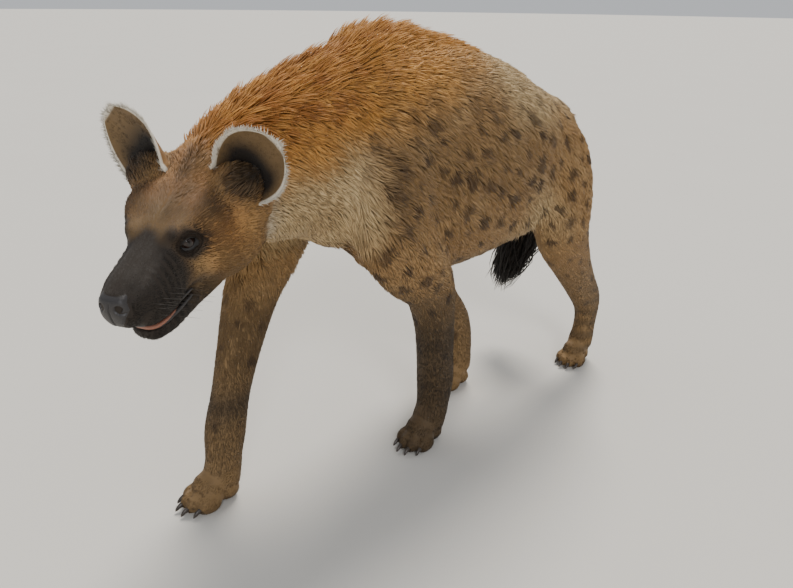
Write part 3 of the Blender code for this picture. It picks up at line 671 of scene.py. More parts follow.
def coat_marks(places, spots):
    """The coat's colours at each point, some of them painted light and shade: spots and the neck fold's
    shade, golden, pale, dark, grey, rufous and white.
    """
    x, y, z = places.trunk.T
    hx, hy, hz = places.head.T
    broad = wander(places.model, 0.060, SEED + 7)
    fine = wander(places.model, 0.022, SEED + 8)
    marks = {"spot_and_fold_shade": spots_at(places, spots)}
    crest = np.interp(y, (-0.60, -0.45, -0.25, -0.10, 0.08), (0.590, 0.640, 0.705, 0.755, 0.800))
    # Golden above the crest's line: partly the mane's own colour and partly painted light glowing through
    # the hair from above and behind.
    golden = ramp(z - crest + 0.012 * broad, -0.045, 0.040) * ramp(y, 0.10, -0.05)
    marks["golden"] = golden * (1 - places.is_head) * (1 - places.is_leg)
    ridge = ramp(z - crest, 0.010, 0.060) * ramp(y, -0.10, -0.40) * (0.55 + 0.35 * fine)
    side = np.abs(hy)
    temple = places.head_patch(0.104, 0.062, 0.018, 0.036)
    brow = ramp(hx, 0.135, 0.100) * ramp(hz, 0.030, 0.055) * ramp(side, 0.060, 0.030)
    marks["rufous"] = np.clip(ridge, 0, 1) * (1 - places.is_head)
    marks["rufous"] += places.is_head * np.clip(0.26 * brow + 0.38 * temple + 0.08 * fine, 0, 1)
    cheek = places.head_patch(0.085, 0.080, -0.010, 0.060)
    marks["golden"] += 0.30 * cheek * places.is_head
    neck_side = places.is_neck * (1 - golden) * ramp(y, -0.315, -0.385)
    # back: the top of the back made paler, painted light from above.
    back = ramp(y, -0.10, 0.04) * ramp(z, 0.59, 0.70)
    belly = ramp(z, 0.43, 0.38) * ramp(y, -0.26, -0.16) * (1 - places.is_leg)
    fold = bell(np.hypot(y - 0.120, (z - 0.440) * 0.8), 0.065) * ramp(np.abs(x), 0.03, 0.08)
    jowl = places.is_head * ramp(hx, 0.045, 0.020) * ramp(hz, 0.050, 0.030)
    # middle: the middle of the flanks made greyer, painted shade on the sides.
    middle = bell(z - 0.590, 0.100) * ramp(y, -0.38, -0.31) * ramp(y, 0.20, 0.05)
    pale = 0.80 * neck_side + 0.85 * back + 0.35 * belly + 0.85 * fold + 0.75 * jowl + 0.12 * broad
    marks["pale"] = np.clip(pale, 0, 1) * (1 - 0.5 * places.is_leg)
    muzzle = ramp(hx + 0.006 * fine + 0.5 * np.maximum(hz - 0.020, 0), 0.146, 0.178)
    forehead = ramp(hx, 0.070, 0.100) * ramp(hz, 0.020, 0.045)
    lips = ramp(hz, -0.030, -0.052) * ramp(hx, 0.115, 0.160)
    streak = bell(side, 0.010) * ramp(hx, 0.120, 0.080) * ramp(hz, 0.035, 0.055)
    # Darker round the feet of the ears' cups: partly dark fur and partly painted shade under the cups.
    ear_foot_fur_and_shade = 0.80 * ear_feet(places)
    eyes = 0.90 * ramp(places.eye_gap(), 0.032, 0.019)
    dark = np.maximum.reduce([0.97 * muzzle, 0.85 * lips, eyes, 0.45 * streak, ear_foot_fur_and_shade, 0.32 * forehead])
    # A dark band down the fold between neck and shoulder: painted shade in the crease, stored with the
    # spots.
    neck_fold_shade = 0.55 * bell(y + 0.318 + 0.01 * fine, 0.018) * bell(z - 0.600, 0.085) * (1 - golden)
    knee = bell(z - 0.185, 0.030) * ramp(y, -0.44, -0.50) * (x < 0)
    shin = ramp(z, 0.33, 0.24) * (x > 0) * ramp(np.abs(y + 0.14), 0.10, 0.06)
    hock = (0.5 + 0.5 * np.sin(z * 190.0)) * ramp(y, 0.36, 0.40) * ramp(z, 0.26, 0.20)
    legs = np.clip(0.60 * knee + 0.62 * shin + 0.45 * hock, 0, 1) * places.is_leg
    tip = places.is_tail * ramp(places.tail_share, 0.30, 0.62)
    marks["spot_and_fold_shade"] = np.maximum(marks["spot_and_fold_shade"], neck_fold_shade * (1 - places.is_head))
    marks["dark"] = np.clip(dark * places.is_head + legs + tip, 0, 1)
    grey = 0.86 * places.is_head * (1 - jowl) * (1 - 0.55 * cheek) + 0.42 * middle
    fore = ramp(y, 0.10, 0.0)
    leg_grey = 0.86 * fore * ramp(z, 0.48, 0.32) + 0.72 * (1 - fore) * ramp(z, 0.34, 0.20)
    marks["grey"] = np.clip(grey + places.is_leg * leg_grey, 0, 1)
    marks["white"] = 0.62 * jowl * ramp(side, 0.055, 0.080)
    return marks


def write_marks(mesh, marks, strand):
    """Stores the coat's colours, and each point's place along its tuft, on the mesh."""
    ones = np.ones(len(mesh.vertices))
    layers = {
        "markings": ("spot_and_fold_shade", "golden", "pale", "dark"),
        "patches": ("grey", "rufous", "white"),
    }
    for name, parts in layers.items():
        values = np.stack([marks[part] for part in parts] + [ones] * (4 - len(parts)), axis=1)
        layer = mesh.attributes.new(name, "FLOAT_COLOR", "POINT")
        layer.data.foreach_set("color", values.astype(np.float32).ravel())
    layer = mesh.attributes.new("strand", "FLOAT_COLOR", "POINT")
    layer.data.foreach_set("color", np.column_stack([strand, ones]).astype(np.float32).ravel())


def paw_frame(x, y, scale, toe_out):
    """A paw's own frame in the trunk's, at its share of a fore paw's size."""
    place = Matrix.Translation((x, y, 0)) @ Matrix.Rotation(math.radians(toe_out), 4, "Z")
    return place @ Matrix.Diagonal((scale, scale, scale, 1.0))


def paw_masses(spec):
    """Pads, instep and toes of one paw."""
    masses = [
        ball("heel", (0, 0.014, 0.022 - SOLE_SINK), (0.030, 0.030, 0.022)),
        ball("instep", (0, -0.006, 0.038), (0.031, 0.040, 0.025)),
    ]
    for toe_x, toe_y in TOES:
        masses.append(ball("toe", (toe_x, toe_y, TOE_SIZE[2] - SOLE_SINK), TOE_SIZE))
    for mass in masses:
        mass.data.transform(paw_frame(*spec))
    return masses


def clamp_mass(obj, lowest=-math.inf, highest=math.inf):
    """Keeps a head mass within levels in front of the mouth's corners, so the mouth stays open."""
    for vertex in obj.data.vertices:
        if vertex.co.x > MOUTH_CORNER:
            vertex.co.z = min(max(vertex.co.z, lowest), highest)
    return obj


def head_masses():
    """The skull, its bumps, the nose and the lower jaw, in the trunk's frame."""
    upper = [head_loft("skull", SKULL)]
    for place, sizes in HEAD_BUMPS:
        upper += [ball("bump", mirrored(place, side), sizes) for side in (1, -1)]
    for mass in upper:
        clamp_mass(mass, lowest=MOUTH_LINE)
    for place, sizes in NOSE_BUMPS:
        upper += [ball("nose", mirrored(place, side), sizes) for side in (1, -1)]
    jaw = clamp_mass(head_loft("jaw", JAW, square=2.4), highest=MOUTH_LINE - 0.003)
    jaw.data.transform(jaw_frame())
    for mass in upper + [jaw]:
        mass.data.transform(head_frame())
    return upper + [jaw]


def skin_weights(places):
    """How far each point of the flesh is eased."""
    z = places.trunk[:, 2]
    hx = places.head[:, 0]
    weights = np.clip((z - 0.30) / 0.16, LEG_EASE, 1.0)
    head = HEAD_EASE * np.clip((0.200 - hx) / 0.08, 0.07, 1.0)
    weights = weights + (head - weights) * places.is_head
    weights = weights + (PAW_EASE - weights) * places.is_paw
    return weights + (TAIL_EASE - weights) * places.is_tail


def folds(places):
    """Fine shape of the skin, out of its surface: furrows, whisker pads and wrinkles."""
    hx, hy, hz = places.head.T
    side = np.abs(hy)
    pad = bell(np.linalg.norm(places.head * (1, 0, 1) - (0.222, 0, -0.032), axis=1), 0.022)
    pad = 0.0022 * pad * ramp(side, 0.014, 0.030)
    bridge = -0.0016 * bell(side - 0.024, 0.006) * ramp(hx, 0.165, 0.190) * ramp(hz, -0.030, -0.012)
    furrow = -0.0016 * bell(side, 0.005) * ramp(hx, 0.150, 0.120) * ramp(hx, 0.060, 0.090)
    furrow = furrow * ramp(hz, 0.02, 0.04)
    lip = 0.0012 * bell(hz - MOUTH_LINE - 0.006, 0.005) * ramp(hx, 0.150, 0.175)
    wrinkles = 0.0003 * np.sin(hx * 540.0 + 30 * hz) * bell(side - 0.034, 0.010) * ramp(hx, 0.170, 0.190)
    wrinkles = wrinkles * ramp(hx, 0.235, 0.215) * ramp(hz, 0.024, 0.008)
    return (pad + bridge + furrow + lip + wrinkles) * places.is_head


def build_skin():
    """The whole animal's skin in one mesh, under its coat."""
    masses = [loft("trunk", TRUNK, ACROSS), loft("neck", NECK, ACROSS)]
    masses += [loft("leg", stations, ACROSS) for stations in LEGS.values()]
    for spec in PAWS.values():
        masses += paw_masses(spec)
    masses += head_masses()
    masses.append(loft("tail", TAIL, ACROSS, steps=6))
    skin = joined("skin", masses)
    skin.data.transform(Matrix.Translation(TO_MIDDLE))
    grow_together(skin, SKIN_VOXEL)
    ease_creases(skin, SKIN_ROUNDS, skin_weights(Places(mesh_points(skin.data))))
    places = Places(mesh_points(skin.data))
    plain = ramp(places.trunk[:, 2], 0.10, 0.14) * (places.head[:, 0] < 0.02)
    lighten(skin, SKIN_SHARE, plain)
    refine_head(skin)
    mesh = skin.data
    points, normals = mesh_points(mesh), mesh_points(mesh, "normal")
    places = Places(points)
    rise = folds(places) - coat_depth(places)
    points = points + normals * rise[:, None]
    points[:, 2] = np.maximum(points[:, 2], LOWEST_SKIN)
    set_points(mesh, points)
    mesh.shade_smooth()
    return skin


def refine_head(skin):
    """Cuts the head's faces finer, and twice finer from the eyes forward."""
    ahead = head_in_model().inverted()
    for start in (0.105, 0.128):
        bm = bmesh.new()
        bm.from_mesh(skin.data)
        wanted = set()
        for vertex in bm.verts:
            place = ahead @ vertex.co
            if place.x > start and place.z > -0.14 and abs(place.y) < 0.12:
                wanted.update(vertex.link_edges)
        bmesh.ops.subdivide_edges(bm, edges=list(wanted), cuts=1, use_grid_fill=True, smooth=0.6)
        bm.to_mesh(skin.data)
        bm.free()


def sink_sockets(skin):
    """Draws the skin back round each eyeball, where the lids take its place."""
    mesh = skin.data
    points = mesh_points(mesh)
    for side in (1, -1):
        frame = eye_frame(side)
        local = moved(points, frame.inverted())
        reach = np.hypot(local[:, 0] / 0.0185, local[:, 1] / 0.0135)
        near = (reach < 1.0) & (np.abs(local[:, 2]) < 0.03)
        local[near, 2] = np.minimum(local[near, 2], -0.0010 + 0.0150 * reach[near] ** 4)
        points[near] = moved(local[near], frame)
    set_points(mesh, points)


def ear_point(side, u, v, out):
    """A point of the pinna: u from rim to rim, v from root to tip, out through its wall."""
    width = EAR_HALF_WIDTH * (0.62 + 1.10 * v - 0.86 * v * v) * max(1 - v ** 2.8, 0.0) ** 0.58
    wrap = 1.75 - 1.05 * v
    angle = u * wrap
    flare = math.sin(angle) / math.sin(min(wrap, math.pi / 2))
    lateral = 1.0 + 0.10 * side * u
    away = Vector((math.sin(angle), -math.cos(angle), 0.0))
    place = Vector((
        width * flare * lateral,
        0.006 - EAR_CUP * (1.05 - 0.70 * v) * math.cos(angle) - 0.010 * v * v,
        v * EAR_LENGTH - 0.014 * u * u * (1 - v),
    ))
    ribs = 0.0007 * math.sin(u * 11.0) * math.sin(math.pi * v)
    return place + away * (out + ribs)


def build_ears():
    """Both pinnae as thin cups, with how far each point is from root to tip and rim to rim."""
    rows, columns = EAR_ROWS, EAR_COLUMNS
    points, faces, marks = [], [], []
    for side in (1, -1):
        frame = ear_frame(side)
        for sign in (-1, 1):
            start = len(points)
            for i in range(rows):
                v = -0.10 + 1.085 * (i / (rows - 1)) ** 0.85
                thick = EAR_THICK * (1.25 - 0.7 * max(v, 0.0)) / 2
                for j in range(columns):
                    u = -1 + 2 * j / (columns - 1)
                    edge = 0.35 + 0.65 * math.sqrt(max(1 - u ** 6, 0.0))
                    inner = Vector(ear_point(side, u, max(v, 0.0), sign * thick * edge))
                    inner.z += min(v, 0.0) * EAR_LENGTH
                    points.append(frame @ inner)
                    marks.append((u, v, float(sign < 0)))
            for i in range(rows - 1):
                for j in range(columns - 1):
                    k = start + i * columns + j
                    quad = (k, k + 1, k + columns + 1, k + columns)
                    faces.append(quad if sign > 0 else quad[::-1])
        outer, inner = start, start - rows * columns
        rim = list(range(columns))
        rim += [i * columns + columns - 1 for i in range(1, rows)]
        rim += [(rows - 1) * columns + j for j in range(columns - 2, -1, -1)]
        rim += [i * columns for i in range(rows - 2, 0, -1)]
        for a, b in zip(rim, rim[1:] + rim[:1]):
            faces.append((inner + a, inner + b, outer + b, outer + a))
    walls = bpy.data.meshes.new("walls")
    walls.from_pydata(points, [], faces)
    bm = bmesh.new()
    bm.from_mesh(walls)
    bpy.data.meshes.remove(walls)
    return link_mesh("ears", bm), np.array(marks)


def ear_marks(shape):
    """The ears' colours: dark deep in the cup, partly their own dark skin and partly painted shade in the
    hollow, grey-buff further out, brown behind, and a white rim, partly pale hair and partly a painted
    glow of light through it.
    """
    u, v, inside = shape.T
    # Dark deep in the cup: partly the ear's own dark inside and partly painted shade in the hollow.
    deep = inside * ramp(v, 0.78, 0.15) * ramp(np.abs(u), 0.95, 0.30)
    # A white rim: partly pale hair and partly a painted glow of light through the thin edge.
    rim = np.maximum(ramp(np.abs(u), 0.86, 0.92), ramp(v, 0.90, 0.95))
    behind = 0.25 + 0.30 * ramp(v, 0.5, 0.9)
    dark = np.clip((0.95 * deep + 0.30) * inside + (1 - inside) * behind, 0, 1)
    return {
        "spot_and_fold_shade": 0.0 * u,
        "golden": 0.20 * (1 - inside),
        "pale": 0.25 * inside,
        "dark": dark * (1 - rim),
        "grey": np.full(len(u), 0.85),
        "rufous": 0.15 * (1 - inside),
        "white": 0.90 * rim,
    }


def build_eyes():
    """Both eyeballs, each with a clear bulge over the iris."""
    bm = bmesh.new()
    for _ in (1, -1):
        bmesh.ops.create_uvsphere(bm, u_segments=64, v_segments=48, radius=1.0)
    eyes = link_mesh("eyes", bm)
    points = unit(mesh_points(eyes.data))
    angle = np.degrees(np.arccos(np.clip(points[:, 2], -1, 1)))
    points = points * (EYE_RADIUS * (1.0 + 0.05 * np.exp(-(angle / 26.0) ** 4)))[:, None]
    half = len(points) // 2
    for side, mine in ((1, slice(0, half)), (-1, slice(half, None))):
        points[mine] = moved(points[mine], eye_frame(side))
    set_points(eyes.data, points)
    layer = eyes.data.attributes.new("gaze", "FLOAT", "POINT")
    layer.data.foreach_set("value", (angle / 90.0).astype(np.float32))
    return eyes


def lid_rise(t, rise):
    return rise * (1 - abs(t) ** 2.3) ** 0.85


def build_lids(skin_tree):
    """Rolled rims round the eyes, which run out into the skin."""
    columns = LID_COLUMNS
    steps = (
        # share of the opening, height over the eyeball or skin, how far it follows the skin
        (0.93, -0.0010, 0.0),
        (1.00, 0.0003, 0.0),
        (1.06, 0.0011, 0.03),
        (1.16, 0.0017, 0.12),
        (1.30, 0.0018, 0.35),
        (1.45, 0.0012, 0.65),
        (1.60, 0.0005, 0.90),
        (1.78, 0.0006, 1.0),
        (2.05, 0.0004, 1.0),
        (2.40, -0.0010, 1.0),
    )
    points, faces, rings = [], [], []
    for side in (1, -1):
        frame = eye_frame(side)
        turn = frame.to_3x3()
        for share, height, follow in steps:
            ring = []
            for i in range(columns):
                a = math.tau * i / columns
                t = math.cos(a)
                rise = EYE_RISE[0] if math.sin(a) > 0 else EYE_RISE[1]
                x = EYE_HALF_WIDTH * t * (1 + (share - 1) * 0.62)
                y = lid_rise(t, rise) + math.sin(a) * (share - 1) * 0.0088
                y += 0.0012 * t * side
                start = frame @ Vector((x, y, 0.06))
                hit, _, _, _ = skin_tree.ray_cast(start, turn @ Vector((0, 0, -1)), 0.09)
                on_skin = (frame.inverted() @ hit).z if hit else EYE_SINK + 0.003
                from_middle = min(math.hypot(x, y), EYE_RADIUS * 0.96)
                on_eye = math.sqrt(EYE_RADIUS ** 2 - from_middle ** 2) * 1.02
                z = on_eye * (1 - follow) + on_skin * follow + height
                ring.append(len(points))
                points.append(frame @ Vector((x, y, z)))
            rings.append((side, ring))
    for (side, low), (other, high) in zip(rings, rings[1:]):
        if side != other:
            continue
        for i in range(columns):
            j = (i + 1) % columns
            faces.append((low[i], low[j], high[j], high[i]))
    mesh = bpy.data.meshes.new("lids")
    mesh.from_pydata(points, [], faces)
    mesh.shade_smooth()
    return link_object("lids", mesh)


def nose_shape(points):
    """How far each point, in the head's frame, lies within the nose pad, and how deep it is cut."""
    x, y, z = points.T
    side = np.abs(y)
    half_width = np.interp(z, (-0.040, -0.028, -0.012, 0.004), (0.006, 0.015, 0.0235, 0.018))
    pad = ramp(side, half_width + 0.0025, half_width - 0.0030) * ramp(z, 0.007, 0.000)
    pad = pad * ramp(z, -0.041, -0.036) * ramp(x, 0.236, 0.242)
    hole = np.exp(-np.hypot((side - 0.0125) / 0.0042, (z + 0.0085) / 0.0040) ** 4)
    slit_level = -0.0135 - 0.25 * (side - 0.0125)
    slit = bell(z - slit_level, 0.0014) * ramp(side, 0.010, 0.0125) * ramp(side, 0.0225, 0.019)
    groove = bell(side, 0.0012) * ramp(z, 0.000, -0.006)
    return pad, 0.0080 * hole + 0.0030 * slit + 0.0017 * groove


def build_nose(skin):
    """The bare nose pad over the muzzle's end, with nostrils and the furrow between them."""
    ahead = head_in_model().inverted()
    bm = bmesh.new()
    bm.from_mesh(skin.data)
    pad, _ = nose_shape(moved(mesh_points(skin.data), ahead))
    bm.verts.ensure_lookup_table()
    bmesh.ops.delete(bm, geom=[v for v in bm.verts if pad[v.index] < 0.02], context="VERTS")
    bmesh.ops.subdivide_edges(bm, edges=bm.edges[:], cuts=1, use_grid_fill=True, smooth=0.5)
    nose = link_mesh("nose", bm)
    mesh = nose.data
    points, normals = mesh_points(mesh), mesh_points(mesh, "normal")
    outward = np.array(head_in_model().to_3x3() @ Vector((1, 0, 0)))
    if (normals @ outward).mean() < 0:
        mesh.flip_normals()
        normals = -normals
    pad, cut = nose_shape(moved(points, ahead))
    plump = 0.0022 * pad - 0.0006 * (1 - pad)
    points = points + normals * plump[:, None] - outward * (cut * pad)[:, None]
    set_points(mesh, points)
    return nose


def lip_line(level, width, start, end, count, frame):
    """Points along one lip, from a mouth corner round the front to the other."""
    out = []
    for i in range(count):
        a = math.pi * (i / (count - 1) - 0.5)
        s = math.sin(a)
        round_front = 1 - abs(s) ** 2.6
        x = start + (end - start) * round_front ** 0.62
        y = width * math.copysign(abs(s) ** 0.75, s)
        out.append(frame @ Vector((x, y, level)))
    return out


def tube(name, path, radii, flat=1.0, count=12):
    """A closed tube of changing radius along a path."""
    rings = []
    for i, centre in enumerate(path):
        along = (path[min(i + 1, len(path) - 1)] - path[max(i - 1, 0)]).normalized()
        side = Vector((0, 0, 1)).cross(along).normalized()
        up = along.cross(side)
        ring = []
        for k in range(count):
            a = math.tau * k / count
            ring.append(centre + side * (math.cos(a) * radii[i]) + up * (math.sin(a) * radii[i] * flat))
        rings.append(ring)
    return skin_rings(name, rings)


def build_lips():
    """Dark moist edges of the mouth, the lower one drawn a little down in front."""
    count = 61
    place = head_in_model()
    upper = lip_line(MOUTH_LINE + 0.0008, 0.0375, MOUTH_CORNER + 0.014, 0.2470, count, place)
    lower = lip_line(MOUTH_LINE - 0.0032, 0.0330, MOUTH_CORNER + 0.014, 0.2330, count, place @ jaw_frame())
    share = [math.sin(math.pi * i / (count - 1)) for i in range(count)]
    pieces = [
        tube("lip", upper, [0.0014 + 0.0012 * s for s in share], 1.2),
        tube("lip", lower, [0.0016 + 0.0018 * s for s in share], 1.2),
    ]
    return joined("lips", pieces)


def build_tongue():
    """The tongue's front with its middle furrow, and the gum inside the upper lip."""
    place = head_in_model() @ jaw_frame()
    tongue = ball("tongue", Vector((0.196, 0.0, -0.0600)), (0.040, 0.0250, 0.0060), rings=28)
    points = mesh_points(tongue.data)
    points[:, 2] -= 0.0016 * bell(points[:, 1], 0.0030) * ramp(points[:, 2], -0.060, -0.056)
    points[:, 2] += 0.0003 * wander(points, 0.004, SEED + 20)
    set_points(tongue.data, moved(points, place))
    count = 41
    inner = lip_line(MOUTH_LINE + 0.0010, 0.0295, 0.198, 0.2345, count, place)
    share = [math.sin(math.pi * i / (count - 1)) for i in range(count)]
    gum = tube("gum", inner, [0.0012 + 0.0032 * s for s in share], 1.0)
    return joined("tongue_and_gum", [tongue, gum])


def build_claws():
    """Blunt dark claws, one to each toe, curved down to the floor."""
    claws = []
    for spec in PAWS.values():
        place = Matrix.Translation(TO_MIDDLE) @ paw_frame(*spec)
        for toe_x, toe_y in TOES:
            root = Vector((toe_x, toe_y - TOE_SIZE[1] + CLAW_LENGTH * 0.60, 0.0135))
            tip = Vector((toe_x * 1.06, toe_y - TOE_SIZE[1] - CLAW_LENGTH * 0.55, 0.0042))
            path, radii = [], []
            steps = 12
            for i in range(steps + 1):
                t = i / steps
                path.append(root.lerp(tip, t) + Vector((0, 0, 0.0034 * math.sin(math.pi * t))))
                radii.append(CLAW_RADIUS * (1 - t ** 2.2) ** 0.5 * 0.92 + 0.0003)
            claw = tube("claw", path, radii, 1.15)
            claw.data.transform(place)
            claws.append(claw)
    return joined("claws", claws)


def ear_feet(places):
    """How near each point is to the foot of an ear's cup, from 0 to 1."""
    gaps = []
    for side in (1, -1):
        foot = mirrored(EAR_ROOT, side) + Vector((0.014, 0.006 * side, 0.004))
        gaps.append(np.linalg.norm(places.head - foot, axis=1))
    return ramp(np.min(gaps, axis=0), 0.036, 0.018)


def coat_recipe(places):
    """Tufts for each square metre, and their length, width and lift, at each point."""
    x, y, z = places.trunk.T
    hx = places.head[:, 0]
    coat = bpy.context.scene.hyena_coat
    length = np.interp(y, (-0.50, -0.30, -0.05, 0.12, 0.26), (0.034, 0.032, 0.034, 0.034, 0.025))
    length = length * (1 - 0.40 * ramp(z, 0.50, 0.37))
    width = np.full(len(x), 0.0029)
    density = np.full(len(x), 80000.0)
    lift = np.full(len(x), 0.36)
    fringe = bell(np.hypot((y - 0.110) * 0.8, z - 0.425), 0.045) * ramp(np.abs(x), 0.03, 0.08)
    length = length + 0.038 * fringe
    lift = lift + 0.22 * fringe
    layers = (
        # mask, tufts for each square metre, length, width, lift
        (places.is_leg, 150000.0, 0.0150, 0.0026, 0.26),
        (places.is_leg * ramp(z, 0.30, 0.20), 240000.0, 0.0100, 0.0019, 0.22),
        (places.is_tail, 110000.0, 0.020, 0.0022, 0.30),
        (places.is_paw, 330000.0, 0.0068, 0.0015, 0.20),
        (places.is_head, 170000.0, 0.0210, 0.0025, 0.32),
        (places.is_head * ramp(hx, 0.030, 0.075), 360000.0, 0.0120, 0.0018, 0.24),
        (places.is_head * ramp(hx, 0.125, 0.160), 900000.0, 0.0058, 0.0011, 0.18),
        (ear_feet(places), 280000.0, 0.0260, 0.0024, 0.60),
    )
    for mask, more, long, wide, high in layers:
        density = density + (more - density) * mask
        length = length + (long - length) * mask
        width = width + (wide - width) * mask
        lift = lift + (high - lift) * mask
    return density * coat.density, length * coat.length, width, lift


def coat_lie(places, normals):
    """The way the hair lies at each point, along the skin."""
    x, y, z = places.trunk.T
    hx, hy, hz = places.head.T
    side = np.sign(hy)

    def way(*parts):
        parts = [np.broadcast_to(part, len(x)).astype(float) for part in parts]
        return unit(np.stack(parts, axis=1))

    droop = -0.85 * ramp(z, 0.79, 0.66) * ramp(z, 0.34, 0.42) - 0.12
    elbow = ramp(z, 0.56, 0.47) * ramp(y, -0.06, -0.14) * ramp(np.abs(x), 0.07, 0.10)
    lie = way(0.0, 1.0, droop)
    face = turned(way(-1.0, 0.45 * side, -0.42 * ramp(hz, 0.02, -0.03)), head_in_model())
    snout = turned(way(-1.0, 0.22 * side, -0.55 * ramp(hz, 0.01, -0.03)), head_in_model())
    turns = [ear_frame(turn).to_3x3() for turn in (1, -1)]
    up_ears = [np.array(turn @ Vector((0, -0.35, 1.0))) for turn in turns]
    up_ear = np.where((hy > 0)[:, None], up_ears[0], up_ears[1])
    layers = (
        (places.is_neck * ramp(z, 0.70, 0.60), way(0.0, 1.0, -0.75)),
        (ramp(y, -0.36, -0.42) * ramp(z, 0.58, 0.50), way(0.0, 0.45, -1.0)),
        (elbow, way(0.0, 0.55, -0.85)),
        (ramp(y, 0.12, 0.26) * ramp(z, 0.72, 0.62), way(0.0, 0.32, -0.95)),
        (places.is_leg, places.leg_lie() + 0.25 * way(0.0, 1.0, 0.0)),
        (places.is_paw, way(0.0, -0.65, -0.60)),
        (places.is_tail, places.tail_lie()),
        (places.is_head, face),
        (places.is_head * ramp(hx, 0.150, 0.185), snout),
        (ear_feet(places), unit(up_ear)),
    )
    for mask, direction in layers:
        lie = lie + (direction - lie) * mask[:, None]
    lie = lie + 0.11 * np.stack([wander(places.model, 0.045, SEED + k) for k in (11, 12, 13)], axis=1)
    return unit(lie - normals * (lie * normals).sum(axis=1, keepdims=True))


def wrapped(across, up, along, column=0, columns=1):
    """Where points lie on an unwrap round an axis, in one column of the square."""
    angle = np.arctan2(across, up) / math.tau + 0.5
    share = (along - along.min()) / max(np.ptp(along), 1e-6)
    u = (column + 0.02 + 0.94 * angle) / columns
    return np.column_stack([u, 0.01 + 0.97 * share])


# The rings of a tuft of so many sections: place from root to tip, and share of its width
TUFT_RINGS = {
    1: ((0.0, 1.0),),
    2: ((0.0, 0.80), (0.5, 1.0)),
    4: ((0.0, 0.70), (0.26, 1.0), (0.54, 0.85), (0.80, 0.50)),
}
TUFT_SIDES = ((0, 1), (1, 2), (2, 0))
TUFT_PATCH = 0.003  # of the unwrap that one tuft takes
TUFTS_TO_A_LOCK = 20


def tuft_mesh(name, roots, normals, lie, size, sections, marks, where, rng, clump=0.55, curl=0.55):
    """Solid flattened spikes of hair: size holds their length, width and lift."""
    length, width, lift = size
    count = len(roots)
    length = length * rng.uniform(0.72, 1.22, count)
    lift = lift * rng.uniform(0.45, 1.45, count)
    swing = rng.normal(0.0, 0.13, count)
    side = np.cross(lie, normals)
    lie = unit(lie + side * swing[:, None])
    side = np.cross(lie, normals)
    roll = rng.uniform(-0.6, 0.6, count)
    flat = side * np.cos(roll)[:, None] + normals * np.sin(roll)[:, None]
    high = normals * np.cos(roll)[:, None] - side * np.sin(roll)[:, None]
    tips = roots + (lie + normals * (lift * (1 - curl))[:, None]) * length[:, None]
    leaders = rng.choice(count, max(count // TUFTS_TO_A_LOCK, 1), replace=False)
    tree = tree_of(roots[leaders])
    follow = leaders[np.array([tree.find(root)[1] for root in roots.tolist()])]
    pull = (tips[follow] - tips) * clump * rng.uniform(0.4, 1.2, count)[:, None]
    far = np.maximum(np.linalg.norm(pull, axis=1), 1e-9)
    pull = pull * np.minimum(1.0, 0.55 * length / far)[:, None]
    points, along, local = [], [], []
    for t, share in TUFT_RINGS[sections]:
        middle = roots + lie * (t * length)[:, None] + pull * t * t
        middle = middle + normals * (length * lift * (t - curl * t * t) - 0.0010 * (1 - t))[:, None]
        half = (0.5 * width * share)[:, None]
        for across, rise, u in ((-1.0, 0.0, 0.0), (0.0, 0.62, 0.5), (1.0, 0.0, 1.0)):
            points.append(middle + flat * half * across + high * half * rise)
            along.append(np.full(count, t))
            local.append((u, t))
    points.append(tips + pull)
    along.append(np.ones(count))
    local.append((0.5, 1.0))
    each = len(points)
    points = np.stack(points, axis=1).reshape(-1, 3)
    points[:, 2] = np.maximum(points[:, 2], LOWEST_HAIR)
    faces = []
    for low in range(0, each - 4, 3):
        for a, b in TUFT_SIDES:
            faces.append((low + a, low + b, low + 3 + b))
            faces.append((low + a, low + 3 + b, low + 3 + a))
    faces += [(each - 4 + a, each - 4 + b, each - 1) for a, b in TUFT_SIDES]
    faces = (np.array(faces)[None, :, :] + each * np.arange(count)[:, None, None]).reshape(-1, 3)
    mesh = bpy.data.meshes.new(name)
    mesh.vertices.add(len(points))
    mesh.vertices.foreach_set("co", points.astype(np.float32).ravel())
    mesh.loops.add(faces.size)
    mesh.loops.foreach_set("vertex_index", faces.astype(np.int32).ravel())
    mesh.polygons.add(len(faces))
    mesh.polygons.foreach_set("loop_start", np.arange(0, faces.size, 3, dtype=np.int32))
    mesh.update(calc_edges=True)
    mesh.shade_smooth()
    patch = (where[:, None, :] + TUFT_PATCH * np.array(local)[None, :, :]).reshape(-1, 2)
    layer = mesh.uv_layers.new(name="OFBake")
    layer.data.foreach_set("uv", patch[faces.ravel()].astype(np.float32).ravel())
    own, shared = rng.uniform(size=count), rng.uniform(size=count)
    shade = np.repeat(0.55 * own + 0.45 * shared[follow], each)
    spread = np.repeat(rng.uniform(size=count), each)
    strand = np.column_stack([np.stack(along, axis=1).ravel(), shade, spread])
    write_marks(mesh, {key: np.repeat(value, each) for key, value in marks.items()}, strand)
    return link_object(name, mesh)


def most_tufts(sections):
    """How many tufts one piece may have within its limit of triangles."""
    return int(COAT_LIMIT / (3 + 6 * (len(TUFT_RINGS[sections]) - 1)))


def tuft_roots(surface, density, rng, sections=None):
    """Where one piece's tufts stand, and the surface's normals there."""
    roots, normals = surface.scatter(density, rng)
    most = most_tufts(sections) if sections else None
    return roots[:most], normals[:most]


